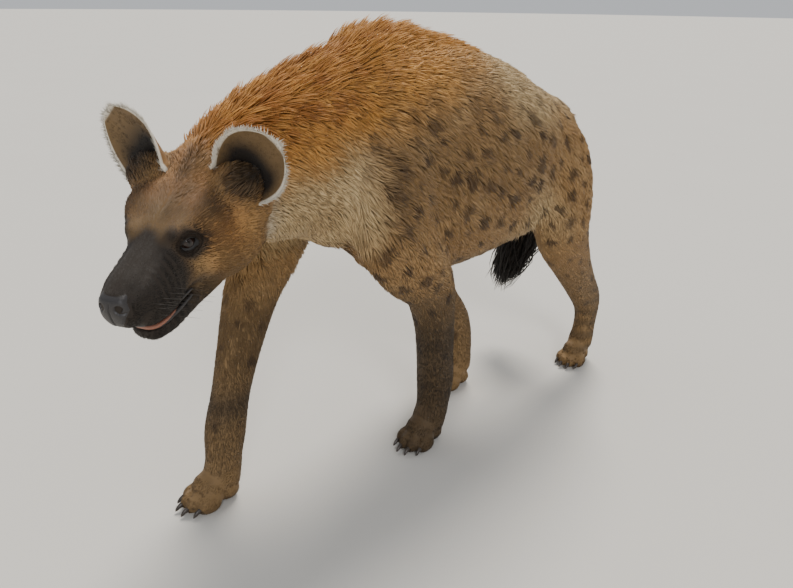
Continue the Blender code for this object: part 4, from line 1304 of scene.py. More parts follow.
def coat_parts(places):
    """Each piece of the coat: its name, which roots are its own and its tufts' sections."""
    x, y, _ = places.trunk.T
    mixed = np.random.default_rng(SEED + 35).uniform(-1, 1, len(x))
    head = places.is_head + 0.4 * mixed > 0.5
    tail = places.is_tail > 0.5
    leg = (places.is_leg + 0.4 * mixed > 0.5) & ~head & ~tail
    body = ~(head | leg | tail)
    face = places.head[:, 0] + 0.022 * mixed > 0.088
    parts = [
        ("coat_face", head & face, 1),
        ("coat_cheeks", head & ~face, 2),
        ("coat_legs_fore", leg & (y < 0), 1),
        ("coat_legs_hind", leg & (y >= 0), 1),
        ("coat_tail", tail, 2),
        ("coat_neck", body & (y < -0.335), 2),
    ]
    spans = (("shoulder", -0.335, -0.13), ("flank", -0.13, 0.13), ("haunch", 0.13, 1.0))
    for name, mine in (("left", body & (x >= 0)), ("right", body & (x < 0))):
        for span, start, end in spans:
            parts.append((f"coat_{span}_{name}", mine & (y >= start) & (y < end), 2))
    return parts


def unwrap(places, name):
    """Each root's place on an unwrap of the skin round that part's own axis."""
    x, y, z = places.trunk.T
    hx, hy, hz = places.head.T
    if name in ("coat_face", "coat_cheeks", "coat_lids"):
        return wrapped(hy, hz + 0.020, hx)
    if name == "coat_tail":
        near = tail_curve()[places.tail_station()]
        return wrapped(x - near[:, 0], y - near[:, 1], places.tail_share)
    if name.startswith("coat_legs"):
        rows = [np.array(smooth_curve(stations, 4))[::-1] for stations in LEGS.values()]
        offsets = []
        for row in rows:
            cx, cy = (np.interp(z, row[:, 2], row[:, k]) for k in (0, 1))
            offsets.append(np.stack([x - cx, y - cy], axis=1))
        offsets = np.stack(offsets)
        nearest = np.linalg.norm(offsets, axis=2).argmin(axis=0)
        own = offsets[nearest, np.arange(len(x))]
        return wrapped(own[:, 0], own[:, 1], z, column=nearest, columns=len(rows))
    return wrapped(x, z - 0.570, y)


def build_coat(skin, spots):
    """The hair of the whole body as solid tufts, in pieces by region."""
    rng = np.random.default_rng(SEED + 30)
    surface = Surface(skin.data)
    middles = Places(surface.middles())
    density = coat_recipe(middles)[0] * (1 - bare_places(middles))
    roots, normals = tuft_roots(surface, density, rng)
    places = Places(roots)
    marks = coat_marks(places, spots)
    _, length, width, lift = coat_recipe(places)
    lie = coat_lie(places, normals)
    pieces = []
    for name, mine, sections in coat_parts(places):
        chosen = rng.permutation(np.nonzero(mine)[0])[:most_tufts(sections)]
        own = {key: value[chosen] for key, value in marks.items()}
        size = (length[chosen], width[chosen], lift[chosen])
        where = unwrap(Places(roots[chosen]), name)
        clump = 0.20 if sections == 1 else 0.60
        grown = (roots[chosen], normals[chosen], lie[chosen])
        pieces.append(tuft_mesh(name, *grown, size, sections, own, where, rng, clump))
    return pieces


def bare_places(places):
    """Where the skin carries no hair: nose, lips, lids, soles and under the ears' roots."""
    hx, _, hz = places.head.T
    nose, _ = nose_shape(places.head)
    sole = ramp(places.trunk[:, 2], 0.006, 0.003)
    mouth = places.is_head * bell(hz - MOUTH_LINE + 0.004, 0.006) * ramp(hx, 0.135, 0.155)
    eyes = ramp(places.eye_gap(), 0.0170, 0.0150)
    return np.clip(np.maximum.reduce([nose, sole, mouth, eyes]), 0, 1)


def build_lid_hair(lids, spots):
    """Very short dark hair on the lids, up to their bare rims."""
    rng = np.random.default_rng(SEED + 36)
    surface = Surface(lids.data)
    middles = surface.middles()
    reach = []
    for side in (1, -1):
        x, y, _ = moved(middles, eye_frame(side).inverted()).T
        reach.append(np.hypot(x / (EYE_HALF_WIDTH * 1.22), y / (EYE_RISE[0] + 0.0028)))
    covered = ramp(np.min(reach, axis=0), 0.95, 1.10)
    roots, normals = tuft_roots(surface, LID_TUFTS * covered, rng)
    places = Places(roots)
    lie = coat_lie(places, normals)
    size = [np.full(len(roots), value) for value in (0.0040, 0.0010, 0.22)]
    marks = coat_marks(places, spots)
    where = unwrap(places, "coat_lids")
    return tuft_mesh("coat_lids", roots, normals, lie, size, 1, marks, where, rng, clump=0.2)


def crest_middle(y):
    """How far the mane's middle line lies to the left, as the neck turns."""
    return np.interp(y, (-0.60, -0.54, -0.47, -0.40), (0.020, 0.008, 0.001, 0.0))


def build_mane(skin, spots):
    """The crest of long hair from the nape to the withers."""
    rng = np.random.default_rng(SEED + 31)
    surface = Surface(skin.data)
    middles = Places(surface.middles())
    x, y, z = middles.trunk.T
    crest = np.interp(y, (-0.60, -0.45, -0.25, -0.10, 0.08), (0.590, 0.640, 0.705, 0.755, 0.760))
    band = ramp(np.abs(x - crest_middle(y)), 0.062, 0.030) * ramp(z - crest, -0.02, 0.01)
    band = band * ramp(y, 0.060, -0.04) * ramp(y, -0.600, -0.560)
    coat = bpy.context.scene.hyena_coat
    roots, normals = tuft_roots(surface, MANE_TUFTS * band * coat.density, rng, 4)
    places = Places(roots)
    x, y, _ = places.trunk.T
    across = np.abs(x - crest_middle(y))
    stations = (-0.60, -0.50, -0.38, -0.20, -0.06, 0.06)
    long = np.interp(y, stations, (0.034, 0.054, 0.066, 0.064, 0.050, 0.030))
    long = long * (1 - 0.35 * ramp(across, 0.020, 0.055)) * coat.mane_length
    lie = coat_lie(places, normals)
    lift = np.interp(y, (-0.56, -0.35, -0.10, 0.06), (0.55, 0.62, 0.46, 0.30))
    lift = lift * (1 - 0.3 * ramp(across, 0.02, 0.055))
    size = (long, np.full(len(roots), 0.0030), lift)
    marks = coat_marks(places, spots)
    # The mane is golden throughout: partly its own colour and partly a painted glow of light through it.
    marks["golden"] = np.maximum(marks["golden"], 0.8)
    marks["pale"] = marks["pale"] * 0.3
    marks["spot_and_fold_shade"] = marks["spot_and_fold_shade"] * 0
    where = unwrap(places, "mane")
    return tuft_mesh("mane", roots, normals, lie, size, 4, marks, where, rng, clump=0.7, curl=0.45)


def build_brush(skin, spots):
    """The black brush on the end of the tail."""
    rng = np.random.default_rng(SEED + 32)
    surface = Surface(skin.data)
    middles = Places(surface.middles())
    band = middles.is_tail * ramp(middles.tail_share, 0.36, 0.55)
    roots, normals = tuft_roots(surface, BRUSH_TUFTS * band, rng, 4)
    places = Places(roots)
    share = places.tail_share
    coat = bpy.context.scene.hyena_coat
    long = np.interp(share, (0.36, 0.60, 0.80, 1.0), (0.075, 0.126, 0.138, 0.126)) * coat.brush_length
    outside = np.maximum(-normals[:, 0], 0)
    long = long * (1 - 0.16 * outside)
    lift = np.interp(share, (0.36, 0.60, 0.95, 1.0), (0.75, 1.05, 0.80, 0.20))
    lift = lift * (1 - 0.85 * outside)
    inward = (0.21, 0.0, 0.0)
    lie = unit(0.30 * coat_lie(places, normals) + places.tail_lie() + inward)
    size = (long, np.full(len(roots), 0.0036), lift)
    marks = coat_marks(places, spots)
    marks["dark"] = np.maximum(marks["dark"], ramp(share, 0.40, 0.60))
    where = unwrap(places, "coat_tail")
    return tuft_mesh("tail_brush", roots, normals, lie, size, 4, marks, where, rng, clump=0.5, curl=0.95)


def build_ear_coat(ears, shape):
    """Short hair on both sides of the ears, with a longer fringe at their rims, white partly as pale hair
    and partly as a painted glow of light through it.
    """
    rng = np.random.default_rng(SEED + 33)
    surface = Surface(ears.data)
    u, v, inside = shape.T
    corner = surface.triangles
    rim = ramp(np.abs(u), 0.86, 0.97)[corner].mean(axis=1)
    rim = rim * ramp(v, 0.02, 0.2)[corner].mean(axis=1)
    deep = (inside * ramp(v, 0.45, 0.05) * ramp(np.abs(u), 0.7, 0.2))[corner].mean(axis=1)
    density = 330000.0 + 260000.0 * rim - 270000.0 * deep
    roots, normals = tuft_roots(surface, density, rng, 1)
    tree = tree_of(surface.points)
    near = np.array([tree.find(root)[1] for root in roots.tolist()])
    own = shape[near]
    u, v, inside = own.T
    right = (near >= len(surface.points) // 2).astype(int)
    turns = np.array([ear_frame(side).to_3x3() for side in (1, -1)])[right]
    outward, tip = turns[:, :, 0], turns[:, :, 2]
    lie = tip + outward * (0.9 * u * np.abs(u))[:, None]
    lie = unit(lie - normals * (lie * normals).sum(axis=1, keepdims=True))
    # The fringe's white is partly pale hair and partly a painted glow of light through it.
    fringe = np.maximum(ramp(np.abs(u), 0.90, 0.97) * ramp(v, 0.02, 0.20), ramp(v, 0.90, 0.97))
    length = 0.0058 + 0.0055 * fringe * (0.4 + 0.6 * inside) + 0.006 * inside * ramp(v, 0.35, 0.05)
    size = (length, 0.0010 + 0.0003 * fringe, 0.26 + 0.25 * fringe)
    marks = ear_marks(own)
    marks["white"] = np.maximum(marks["white"], 0.95 * fringe)
    marks["dark"] = marks["dark"] * (1 - fringe)
    height = 0.02 + 0.95 * np.clip(v + 0.1, 0, 1.1) / 1.1
    where = np.column_stack([(right + 0.5 + 0.46 * u) / 2, height * 0.5 + 0.48 * inside])
    return tuft_mesh("coat_ears", roots, normals, lie, size, 1, marks, where, rng, clump=0.35)


def build_whiskers():
    """A few long stiff hairs on each side of the muzzle and over the eyes."""
    rng = np.random.default_rng(SEED + 34)
    place = head_in_model()
    hairs = []
    for side in (1, -1):
        spots = [(0.238 - 0.012 * c, 0.040, -0.020 - 0.008 * r) for r in range(3) for c in range(4)]
        spots += [(0.135, 0.036, 0.036), (0.131, 0.040, 0.035)]
        for x, y, z in spots:
            root = Vector((x, side * y, z)) + Vector(rng.uniform(-0.0015, 0.0015, 3))
            reach = rng.uniform(0.030, 0.055)
            away = Vector((-0.45, side * 0.75, -0.30 if z < 0 else 0.45)).normalized() * reach
            sag = Vector((-0.010, 0.0, -0.012))
            path = [place @ (root + away * t + sag * t * t) for t in (0.0, 0.3, 0.6, 0.8, 1.0)]
            hairs.append(tube("hair", path, (0.00038, 0.00034, 0.00026, 0.00018, 0.00008), count=5))
    return joined("whiskers", hairs)


def new_material(name):
    """A node material with its Principled shader, and both of them at hand."""
    material = bpy.data.materials.new(name)
    material.use_nodes = True
    return material, material.node_tree, material.node_tree.nodes["Principled BSDF"]


def fill(tree, node, values):
    """Gives a node's inputs, by name or number, their values or links."""
    for key, value in values.items():
        if isinstance(value, bpy.types.NodeSocket):
            tree.links.new(value, node.inputs[key])
        else:
            node.inputs[key].default_value = value


def add_node(tree, kind, values=(), **settings):
    """A node with its settings, and values or links for its inputs."""
    node = tree.nodes.new(kind)
    for name, value in settings.items():
        setattr(node, name, value)
    fill(tree, node, dict(values))
    return node


def blend_colour(tree, share, low, high, way="MIX"):
    """low turned into high by share; each is a colour or a socket."""
    colours = [c if isinstance(c, bpy.types.NodeSocket) else (*c[:3], 1.0) for c in (low, high)]
    values = {0: share, 6: colours[0], 7: colours[1]}
    node = add_node(
        tree, "ShaderNodeMix", values, data_type="RGBA", blend_type=way, clamp_factor=True)
    return node.outputs[2]


def toned(colour, share):
    return [part * share for part in colour]


def sum_up(tree, way, *values):
    """A Math node's result."""
    node = add_node(tree, "ShaderNodeMath", dict(enumerate(values)), operation=way)
    return node.outputs[0]


def rescaled(tree, value, low, high):
    """A value from 0 to 1 turned to one from low to high."""
    node = add_node(tree, "ShaderNodeMapRange", {"Value": value, "To Min": low, "To Max": high})
    return node.outputs["Result"]


def noise(tree, scale, detail=3.0, roughness=0.55):
    coords = add_node(tree, "ShaderNodeTexCoord")
    values = {"Scale": scale, "Detail": detail, "Roughness": roughness}
    values["Vector"] = coords.outputs["Object"]
    return add_node(tree, "ShaderNodeTexNoise", values).outputs["Fac"]


def bumps(tree, height, strength, distance):
    values = {"Height": height, "Strength": strength, "Distance": distance}
    return add_node(tree, "ShaderNodeBump", values).outputs["Normal"]


def new_group(name, inputs, outputs):
    """A node group with its sockets, and its two end nodes."""
    group = bpy.data.node_groups.new(name, "ShaderNodeTree")
    for socket_name, settings in inputs.items():
        socket = group.interface.new_socket(
            socket_name, in_out="INPUT", socket_type="NodeSocketFloat")
        for key, value in settings.items():
            setattr(socket, key, value)
    for socket_name, kind in outputs.items():
        group.interface.new_socket(socket_name, in_out="OUTPUT", socket_type="NodeSocket" + kind)
    return group, add_node(group, "NodeGroupInput"), add_node(group, "NodeGroupOutput")


def hair_colour_group():
    """The coat's colour from its stored markings, with painted shade towards the roots, and different hair
    by hair.
    """
    coat = bpy.context.scene.hyena_coat
    inputs = {
        "Painted root shade": {"default_value": 0.45, "min_value": 0.0, "max_value": 1.0},
        "Variation": {"default_value": 0.30, "min_value": 0.0, "max_value": 1.0},
    }
    outputs = {"Color": "Color", "Roughness": "Float", "Height": "Float"}
    group, given, result = new_group("hyena_hair_colour", inputs, outputs)
    stored = []
    parts = []
    for name in ("markings", "patches", "strand"):
        stored.append(add_node(group, "ShaderNodeAttribute", attribute_name=name).outputs)
        values = {"Color": stored[-1]["Color"]}
        parts.append(add_node(group, "ShaderNodeSeparateColor", values).outputs)
    mark, patch, hair = parts
    tone = blend_colour(group, noise(group, 9.0), coat.tan, toned(coat.tan, 0.84))
    tone = blend_colour(group, mark[2], tone, coat.pale)
    tone = blend_colour(group, patch[0], tone, coat.grey)
    tone = blend_colour(group, mark[1], tone, coat.golden)
    tone = blend_colour(group, patch[1], tone, coat.rufous)
    tone = blend_colour(group, sum_up(group, "MULTIPLY", mark[0], 0.88), tone, coat.spot_and_fold_shade)
    tone = blend_colour(group, stored[0]["Alpha"], tone, coat.dark)
    tone = blend_colour(group, patch[2], tone, coat.white)
    along = rescaled(group, hair[0], 0.0, 1.0)
    # Painted shade: each hair darkens towards its root, as if the coat shaded itself there.
    root = sum_up(group, "POWER", sum_up(group, "SUBTRACT", 1.0, along), 1.6)
    shade = sum_up(group, "MULTIPLY", root, given.outputs["Painted root shade"])
    tone = blend_colour(group, shade, tone, (0.035, 0.022, 0.014))
    darker = blend_colour(group, 1.0, tone, (0.50, 0.47, 0.44), way="MULTIPLY")
    lighter = blend_colour(group, 1.0, tone, (1.20, 1.26, 1.34), way="MULTIPLY")
    spread = blend_colour(group, hair[1], darker, lighter)
    tone = blend_colour(group, given.outputs["Variation"], tone, spread)
    roughness = rescaled(group, hair[2], 0.52, 0.74)
    height = noise(group, 900.0, 2.0, 0.7)
    fill(group, result, {"Color": tone, "Roughness": roughness, "Height": height})
    return group


def leather_group():
    """Fine pebbled grain of bare skin: a value for its colour and a height for its bumps."""
    inputs = {"Grain size": {"default_value": 900.0}}
    outputs = {"Value": "Float", "Height": "Float"}
    group, given, result = new_group("hyena_bare_skin", inputs, outputs)
    coords = add_node(group, "ShaderNodeTexCoord")
    values = {"Vector": coords.outputs["Object"], "Scale": given.outputs["Grain size"]}
    cells = add_node(group, "ShaderNodeTexVoronoi", values, feature="F1")
    fill(group, result, {"Value": noise(group, 60.0), "Height": cells.outputs["Distance"]})
    return group


def made_once(name, build):
    """The material or group of that name, built when it is first wanted."""
    for store in (bpy.data.materials, bpy.data.node_groups):
        if name in store:
            return store[name]
    return build()


# Each hair or haired skin: painted shade at the root, variation from hair to hair and bump
HAIR = {
    "hyena_hair": (0.60, 0.48, 0.0),
    "hyena_skin": (0.35, 0.0, 0.5),
    "hyena_ear_skin": (0.30, 0.0, 0.5),
    "hyena_ear_hair": (0.35, 0.35, 0.0),
    "hyena_mane": (0.55, 0.45, 0.0),
    "hyena_brush": (0.30, 0.45, 0.0),
}


def hair_material(name):
    """Hair, or the skin under it, in the colours stored on its mesh."""
    painted_root_shade, variation, bump = HAIR[name]
    material, tree, shader = new_material(name)
    group = made_once("hyena_hair_colour", hair_colour_group)
    values = {"Painted root shade": painted_root_shade, "Variation": variation}
    hair = add_node(tree, "ShaderNodeGroup", values, node_tree=group)
    fill(tree, shader, {
        "Base Color": hair.outputs["Color"],
        "Roughness": hair.outputs["Roughness"],
        "Specular IOR Level": 0.26,
        "Sheen Weight": 0.03,
        "Sheen Roughness": 0.45,
    })
    if bump:
        fill(tree, shader, {"Normal": bumps(tree, hair.outputs["Height"], bump, 0.001)})
    return material


def haired(name):
    return made_once(name, lambda: hair_material(name))


def leather_material(name, low, high, grain, roughness, wet=0.0):
    """Bare skin: nose, lips, lids, tongue or claws, in tones from low to high."""
    material, tree, shader = new_material(name)
    group = made_once("hyena_bare_skin", leather_group)
    skin = add_node(tree, "ShaderNodeGroup", {"Grain size": grain}, node_tree=group)
    fill(tree, shader, {
        "Base Color": blend_colour(tree, skin.outputs["Value"], low, high),
        "Normal": bumps(tree, skin.outputs["Height"], 0.35, 0.0008),
        "Roughness": roughness,
        "Coat Weight": wet,
        "Coat Roughness": 0.22,
    })
    return material


def eye_material():
    """A dark brown iris round a black pupil, in a glossy wet eye."""
    face = bpy.context.scene.hyena_face
    material, tree, shader = new_material("hyena_eye")
    gaze = add_node(tree, "ShaderNodeAttribute", attribute_name="gaze").outputs["Fac"]
    ramp_node = add_node(tree, "ShaderNodeValToRGB", {"Fac": gaze})
    iris = tuple(face.iris)
    stops = (
        (0.0, (0.004, 0.003, 0.003)),
        (0.155, (0.004, 0.003, 0.003)),
        (0.185, toned(iris, 0.8)),
        (0.30, iris),
        (0.40, toned(iris, 0.35)),
        (0.46, (0.016, 0.010, 0.008)),
        (1.0, (0.08, 0.05, 0.04)),
    )
    elements = ramp_node.color_ramp.elements
    while len(elements) < len(stops):
        elements.new(0.5)
    for element, (place, colour) in zip(elements, stops):
        element.position = place
    for element, (place, colour) in zip(elements, stops):
        element.color = (*colour, 1.0)
    plain = ramp_node.outputs["Color"]
    streaked = blend_colour(tree, noise(tree, 700.0, 2.0), plain, toned(iris, 1.6))
    fill(tree, shader, {
        "Base Color": blend_colour(tree, 0.18, plain, streaked),
        "Roughness": 0.22,
        "Specular IOR Level": 0.25,
        "Coat Weight": 0.5,
        "Coat Roughness": 0.03,
    })
    return material


def floor_material():
    stage = bpy.context.scene.hyena_stage
    material, tree, shader = new_material("studio_floor")
    plain = stage.floor_colour
    tone = blend_colour(tree, noise(tree, 1.5), plain, toned(plain, 0.965))
    fill(tree, shader, {"Base Color": tone, "Roughness": 0.85, "Specular IOR Level": 0.2})
    return material


def give(piece, material, slot, *nodes):
    """Puts a piece on the animal with its finish, in place of the solids named."""
    piece.data.materials.clear()
    piece.data.materials.append(material)
    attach(piece, "root")
    if nodes:
        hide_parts(*nodes)


def store_spots(spots):
    """Keeps the spots with the skin, so that its coat is spotted the same."""
    bpy.context.scene["hyena_spots"] = np.column_stack(spots).ravel().tolist()


def stored_spots():
    rows = np.array(bpy.context.scene["hyena_spots"]).reshape(-1, 5)
    return rows[:, :3], rows[:, 3], rows[:, 4]


def skin_object():
    skin = bpy.data.objects.get("skin")
    if skin is None:
        raise RuntimeError("Make the skin first: other pieces grow on it")
    return skin


def add_skin():
    """The skin with its markings, and the lids with their hair, while the sockets are still full."""
    face = bpy.context.scene.hyena_face
    skin = build_skin()
    mesh = skin.data
    faces = [tuple(face.vertices) for face in mesh.polygons]
    lids = build_lids(BVHTree.FromPolygons([vertex.co for vertex in mesh.vertices], faces))
    sink_sockets(skin)
    spots = spread_spots(Surface(mesh))
    store_spots(spots)
    give(build_lid_hair(lids, spots), haired("hyena_hair"), "coat_brown")
    # The skin takes the hair's painted root shade at this share along a tuft: painted shade under the
    # coat.
    strand = np.tile((0.42, 0.5, 0.5), (len(mesh.vertices), 1))
    write_marks(mesh, coat_marks(Places(mesh_points(mesh)), spots), strand)
    give(skin, haired("hyena_skin"), "coat_tan", *FLESH)
    dark = face.nose_colour
    lid = leather_material("hyena_lid", toned(dark, 0.5), dark, 1500.0, 0.62)
    give(lids, lid, "coat_black")


def add_eyes():
    give(build_eyes(), eye_material(), "eye", "eye_left", "eye_right")


def add_nose_and_mouth():
    """The bare nose and lips, the tongue and the whiskers."""
    face = bpy.context.scene.hyena_face
    dark, pink = face.nose_colour, face.tongue_colour
    nose = leather_material("hyena_nose", dark, toned(dark, 1.9), 950.0, 0.46, 0.12)
    give(build_nose(skin_object()), nose, "coat_black")
    lips = leather_material("hyena_lip", dark, toned(dark, 2.4), 1300.0, 0.38, 0.2)
    give(build_lips(), lips, "coat_black")
    tongue = leather_material("hyena_tongue", pink, toned(pink, 0.7), 1600.0, 0.38, 0.3)
    give(build_tongue(), tongue, "tongue", "tongue")
    tones = ((0.02, 0.016, 0.013), (0.05, 0.04, 0.03))
    give(build_whiskers(), leather_material("hyena_whisker", *tones, 400.0, 0.4), "coat_black")


def add_ears():
    ears, shape = build_ears()
    # The ears' skin takes the painted root shade at this share along a tuft: painted shade under their
    # hair.
    strand = np.tile((0.55, 0.5, 0.5), (len(shape), 1))
    write_marks(ears.data, ear_marks(shape), strand)
    give(ears, haired("hyena_ear_skin"), "coat_ear", "ear_left", "ear_right")
    give(build_ear_coat(ears, shape), haired("hyena_ear_hair"), "coat_ear")


def add_claws():
    dark = bpy.context.scene.hyena_face.claw_colour
    horn = leather_material("hyena_claw", dark, toned(dark, 2.6), 260.0, 0.38, 0.1)
    give(build_claws(), horn, "coat_black")


def add_coat():
    slots = {"coat_face": "coat_brown", "coat_cheeks": "coat_brown", "coat_tail": "coat_black"}
    for piece in build_coat(skin_object(), stored_spots()):
        give(piece, haired("hyena_hair"), slots.get(piece.name, "coat_tan"))


def add_mane():
    give(build_mane(skin_object(), stored_spots()), haired("hyena_mane"), "coat_golden")


def add_brush():
    give(build_brush(skin_object(), stored_spots()), haired("hyena_brush"), "coat_black")


CAMERA_AT = Vector((0.964, -1.021, 0.871))
CAMERA_YAW, CAMERA_PITCH, CAMERA_ROLL = (math.radians(angle) for angle in (-43.7, -21.5, 0.7))
CAMERA_LENS = 34.67
FLOOR_RADIUS = 40.0
SKY_COLOUR = (0.93, 0.96, 1.0, 1.0)
# Each lamp: where it shines from, how wide it looks in degrees, and its colour
KEY = ((-0.9, 1.6, 2.6), 24.0, (1.0, 0.95, 0.87))
FILL = ((2.2, -1.6, 1.7), 16.0, (0.97, 0.98, 1.0))


def add_camera():
    """The camera at the photograph's own height, distance and tilt."""
    level = math.cos(CAMERA_PITCH)
    ahead = (math.sin(CAMERA_YAW) * level, math.cos(CAMERA_YAW) * level, math.sin(CAMERA_PITCH))
    ahead = Vector(ahead)
    right = ahead.cross(Vector((0, 0, 1))).normalized()
    up = right.cross(ahead)
    turn, lean = math.cos(CAMERA_ROLL), math.sin(CAMERA_ROLL)
    axes = Matrix((right * turn + up * lean, up * turn - right * lean, -ahead)).transposed()
    camera = link_object("camera", bpy.data.cameras.new("camera"))
    camera.matrix_world = Matrix.Translation(CAMERA_AT) @ axes.to_4x4()
    camera.data.lens = CAMERA_LENS
    camera.data.clip_end = 200.0
    bpy.context.scene.camera = camera


def add_sun(name, strength, place, softness, colour):
    """A soft even light that shines from a place towards the middle of the floor."""
    lamp = bpy.data.lights.new(name, "SUN")
    lamp.energy = strength
    lamp.angle = math.radians(softness)
    lamp.color = colour
    aim = (-Vector(place)).to_track_quat("-Z", "Y")
    sun = link_object(name, lamp)
    sun.matrix_world = Matrix.Translation(place) @ aim.to_matrix().to_4x4()


def add_stage():
    """A plain floor and sky, two soft lamps and the camera."""
    stage = bpy.context.scene.hyena_stage
    bm = bmesh.new()
    bmesh.ops.create_circle(bm, cap_ends=True, segments=96, radius=FLOOR_RADIUS)
    floor = link_mesh("floor", bm)
    floor.data.materials.append(floor_material())
    world = bpy.data.worlds.new("studio")
    world.use_nodes = True
    values = {"Color": SKY_COLOUR, "Strength": stage.sky_strength}
    fill(world.node_tree, world.node_tree.nodes["Background"], values)
    bpy.context.scene.world = world
    add_sun("key", stage.key_strength, *KEY)
    add_sun("fill", stage.fill_strength, *FILL)
    add_camera()


def colour_setting(name, description, default):
    return FloatVectorProperty(
        name=name, description=description, subtype="COLOR", size=3, min=0.0, max=1.0, default=default)


def share_setting(name, description, low, high):
    return FloatProperty(
        name=name, description=description, subtype="FACTOR", default=1.0, min=low, max=high)


def size_setting(name, description, default, low, high):
    return FloatProperty(
        name=name, description=description, subtype="DISTANCE", unit="LENGTH",
        default=default, min=low, max=high)


class HyenaCoat(bpy.types.PropertyGroup):
    """The coat's lengths, thickness, spots and colours."""

    length: share_setting(
        "Hair length", "Length of the body's hair, as a share of a real coat's", 0.4, 1.6)
    density: share_setting(
        "Thickness", "Number of tufts, as a share of the full coat's", 0.1, 1.0)
    mane_length: share_setting(
        "Mane length", "Length of the mane's hair, as a share of a real mane's", 0.4, 1.4)
    brush_length: share_setting(
        "Tail brush length", "Length of the brush's hair, as a share of a real one's", 0.4, 1.2)
    spot_spacing: size_setting(
        "Spot spacing", "Least distance from one spot's middle to the next", 0.037, 0.02, 0.12)
    spot_radius: size_setting(
        "Spot radius", "Radius of a spot of middle size", 0.0150, 0.004, 0.03)
    tan: colour_setting("Tan", "Hair of the flanks and haunches", (0.50, 0.295, 0.120))
    # Cream also paints the light on the top of the back.
    pale: colour_setting("Cream", "Hair of the back, neck and belly", (0.76, 0.56, 0.30))
    # Golden is partly the mane's own colour and partly a painted glow of light through it.
    golden: colour_setting("Golden", "Hair of the mane", (0.68, 0.33, 0.075))
    rufous: colour_setting("Rufous", "Reddest hair, on the forehead and crest", (0.40, 0.150, 0.030))
    # Grey-brown also paints the shade on the middle of the flanks.
    grey: colour_setting("Grey-brown", "Hair of the head and lower legs", (0.190, 0.118, 0.050))
    # The spots' colour also paints the shade in the fold between neck and shoulder.
    spot_and_fold_shade: colour_setting("Spots", "Hair of the spots", (0.048, 0.024, 0.011))
    dark: colour_setting(
        "Charcoal", "Hair of the muzzle, lower legs and brush", (0.015, 0.012, 0.010))
    # White is partly pale hair and partly a painted glow of light through the ears' fringe.
    white: colour_setting("White", "Fringe of the ears", (0.80, 0.74, 0.62))


class HyenaFace(bpy.types.PropertyGroup):
    """Colours of the eyes and bare parts."""

    iris: colour_setting("Iris", "Colour of the iris", (0.018, 0.008, 0.005))
    nose_colour: colour_setting("Nose", "Bare skin of the nose, lips and lids", (0.014, 0.012, 0.012))
    tongue_colour: colour_setting("Tongue", "Colour of the tongue", (0.36, 0.135, 0.080))
    claw_colour: colour_setting("Claws", "Horn of the claws", (0.022, 0.016, 0.012))


class HyenaStage(bpy.types.PropertyGroup):
    """The floor and the lamps."""

    floor_colour: colour_setting("Floor", "Colour of the plain floor", (0.62, 0.60, 0.56))
    key_strength: FloatProperty(
        name="Key light", description="Strength of the soft light from above and behind",
        default=3.6, min=0.0)
    fill_strength: FloatProperty(
        name="Fill light", description="Strength of the broad light beside the camera",
        default=1.1, min=0.0)
    sky_strength: FloatProperty(
        name="Sky", description="Strength of the even light all round",
        default=0.60, min=0.0, max=3.0)


class HyenaStep(bpy.types.Operator):
    """One step of dressing the animal."""

    bl_options = {"REGISTER", "UNDO"}

    @classmethod
    def poll(cls, context):
        return context.mode == "OBJECT"


class HYENA_OT_skin(HyenaStep):
    """Make the skin and the eyelids, in place of the solids of the flesh"""

    bl_idname = "hyena.skin"
    bl_label = "Skin and lids"

    def execute(self, context):
        add_skin()
        return {"FINISHED"}


class HYENA_OT_eyes(HyenaStep):
    """Make the eyeballs"""

    bl_idname = "hyena.eyes"
    bl_label = "Eyes"

    def execute(self, context):
        add_eyes()
        return {"FINISHED"}


class HYENA_OT_muzzle(HyenaStep):
    """Make the nose, lips, tongue and whiskers"""

    bl_idname = "hyena.muzzle"
    bl_label = "Nose and mouth"

    def execute(self, context):
        add_nose_and_mouth()
        return {"FINISHED"}


class HYENA_OT_ears(HyenaStep):
    """Make the ears with their short hair and their white fringe, partly a painted glow of light through
    it
    """

    bl_idname = "hyena.ears"
    bl_label = "Ears"

    def execute(self, context):
        add_ears()
        return {"FINISHED"}


class HYENA_OT_claws(HyenaStep):
    """Make the claws of all four paws"""

    bl_idname = "hyena.claws"
    bl_label = "Claws"

    def execute(self, context):
        add_claws()
        return {"FINISHED"}


class HYENA_OT_coat(HyenaStep):
    """Grow the coat of the head, body, legs and tail on the skin"""

    bl_idname = "hyena.coat"
    bl_label = "Coat"

    def execute(self, context):
        add_coat()
        return {"FINISHED"}


class HYENA_OT_mane(HyenaStep):
    """Grow the mane from the nape to the withers"""

    bl_idname = "hyena.mane"
    bl_label = "Mane"

    def execute(self, context):
        add_mane()
        return {"FINISHED"}


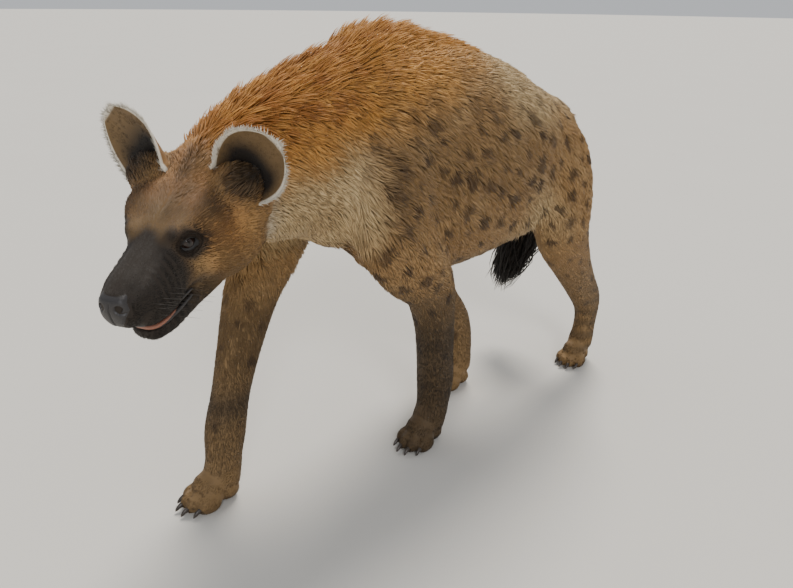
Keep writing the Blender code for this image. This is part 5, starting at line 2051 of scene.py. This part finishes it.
class HYENA_OT_brush(HyenaStep):
    """Grow the black brush of the tail"""

    bl_idname = "hyena.brush"
    bl_label = "Tail brush"

    def execute(self, context):
        add_brush()
        return {"FINISHED"}


class HYENA_OT_stage(HyenaStep):
    """Make the floor, the lamps and the camera"""

    bl_idname = "hyena.stage"
    bl_label = "Floor, light and camera"

    def execute(self, context):
        add_stage()
        return {"FINISHED"}


STEPS = (
    HYENA_OT_skin, HYENA_OT_eyes, HYENA_OT_muzzle, HYENA_OT_ears, HYENA_OT_claws,
    HYENA_OT_coat, HYENA_OT_mane, HYENA_OT_brush, HYENA_OT_stage,
)


class HYENA_PT_panel(bpy.types.Panel):
    """The hyena's steps and settings in the sidebar."""

    bl_label = "Spotted hyena"
    bl_idname = "HYENA_PT_panel"
    bl_space_type = "VIEW_3D"
    bl_region_type = "UI"
    bl_category = "Hyena"

    def draw(self, context):
        column = self.layout.column(align=True)
        for step in STEPS:
            column.operator(step.bl_idname)
        for settings in (context.scene.hyena_coat, context.scene.hyena_face, context.scene.hyena_stage):
            box = self.layout.box()
            for name in settings.__annotations__:
                box.prop(settings, name)


CLASSES = (HyenaCoat, HyenaFace, HyenaStage, *STEPS, HYENA_PT_panel)


def register():
    for cls in CLASSES:
        bpy.utils.register_class(cls)
    bpy.types.Scene.hyena_coat = PointerProperty(type=HyenaCoat)
    bpy.types.Scene.hyena_face = PointerProperty(type=HyenaFace)
    bpy.types.Scene.hyena_stage = PointerProperty(type=HyenaStage)


def unregister():
    del bpy.types.Scene.hyena_stage
    del bpy.types.Scene.hyena_face
    del bpy.types.Scene.hyena_coat
    for cls in reversed(CLASSES):
        bpy.utils.unregister_class(cls)


def main():
    """Registers the steps and makes every piece in order."""
    register()
    bpy.ops.hyena.skin()
    bpy.ops.hyena.eyes()
    bpy.ops.hyena.muzzle()
    bpy.ops.hyena.ears()
    bpy.ops.hyena.claws()
    bpy.ops.hyena.coat()
    bpy.ops.hyena.mane()
    bpy.ops.hyena.brush()
    bpy.ops.hyena.stage()


if __name__ == "__main__":
    main()
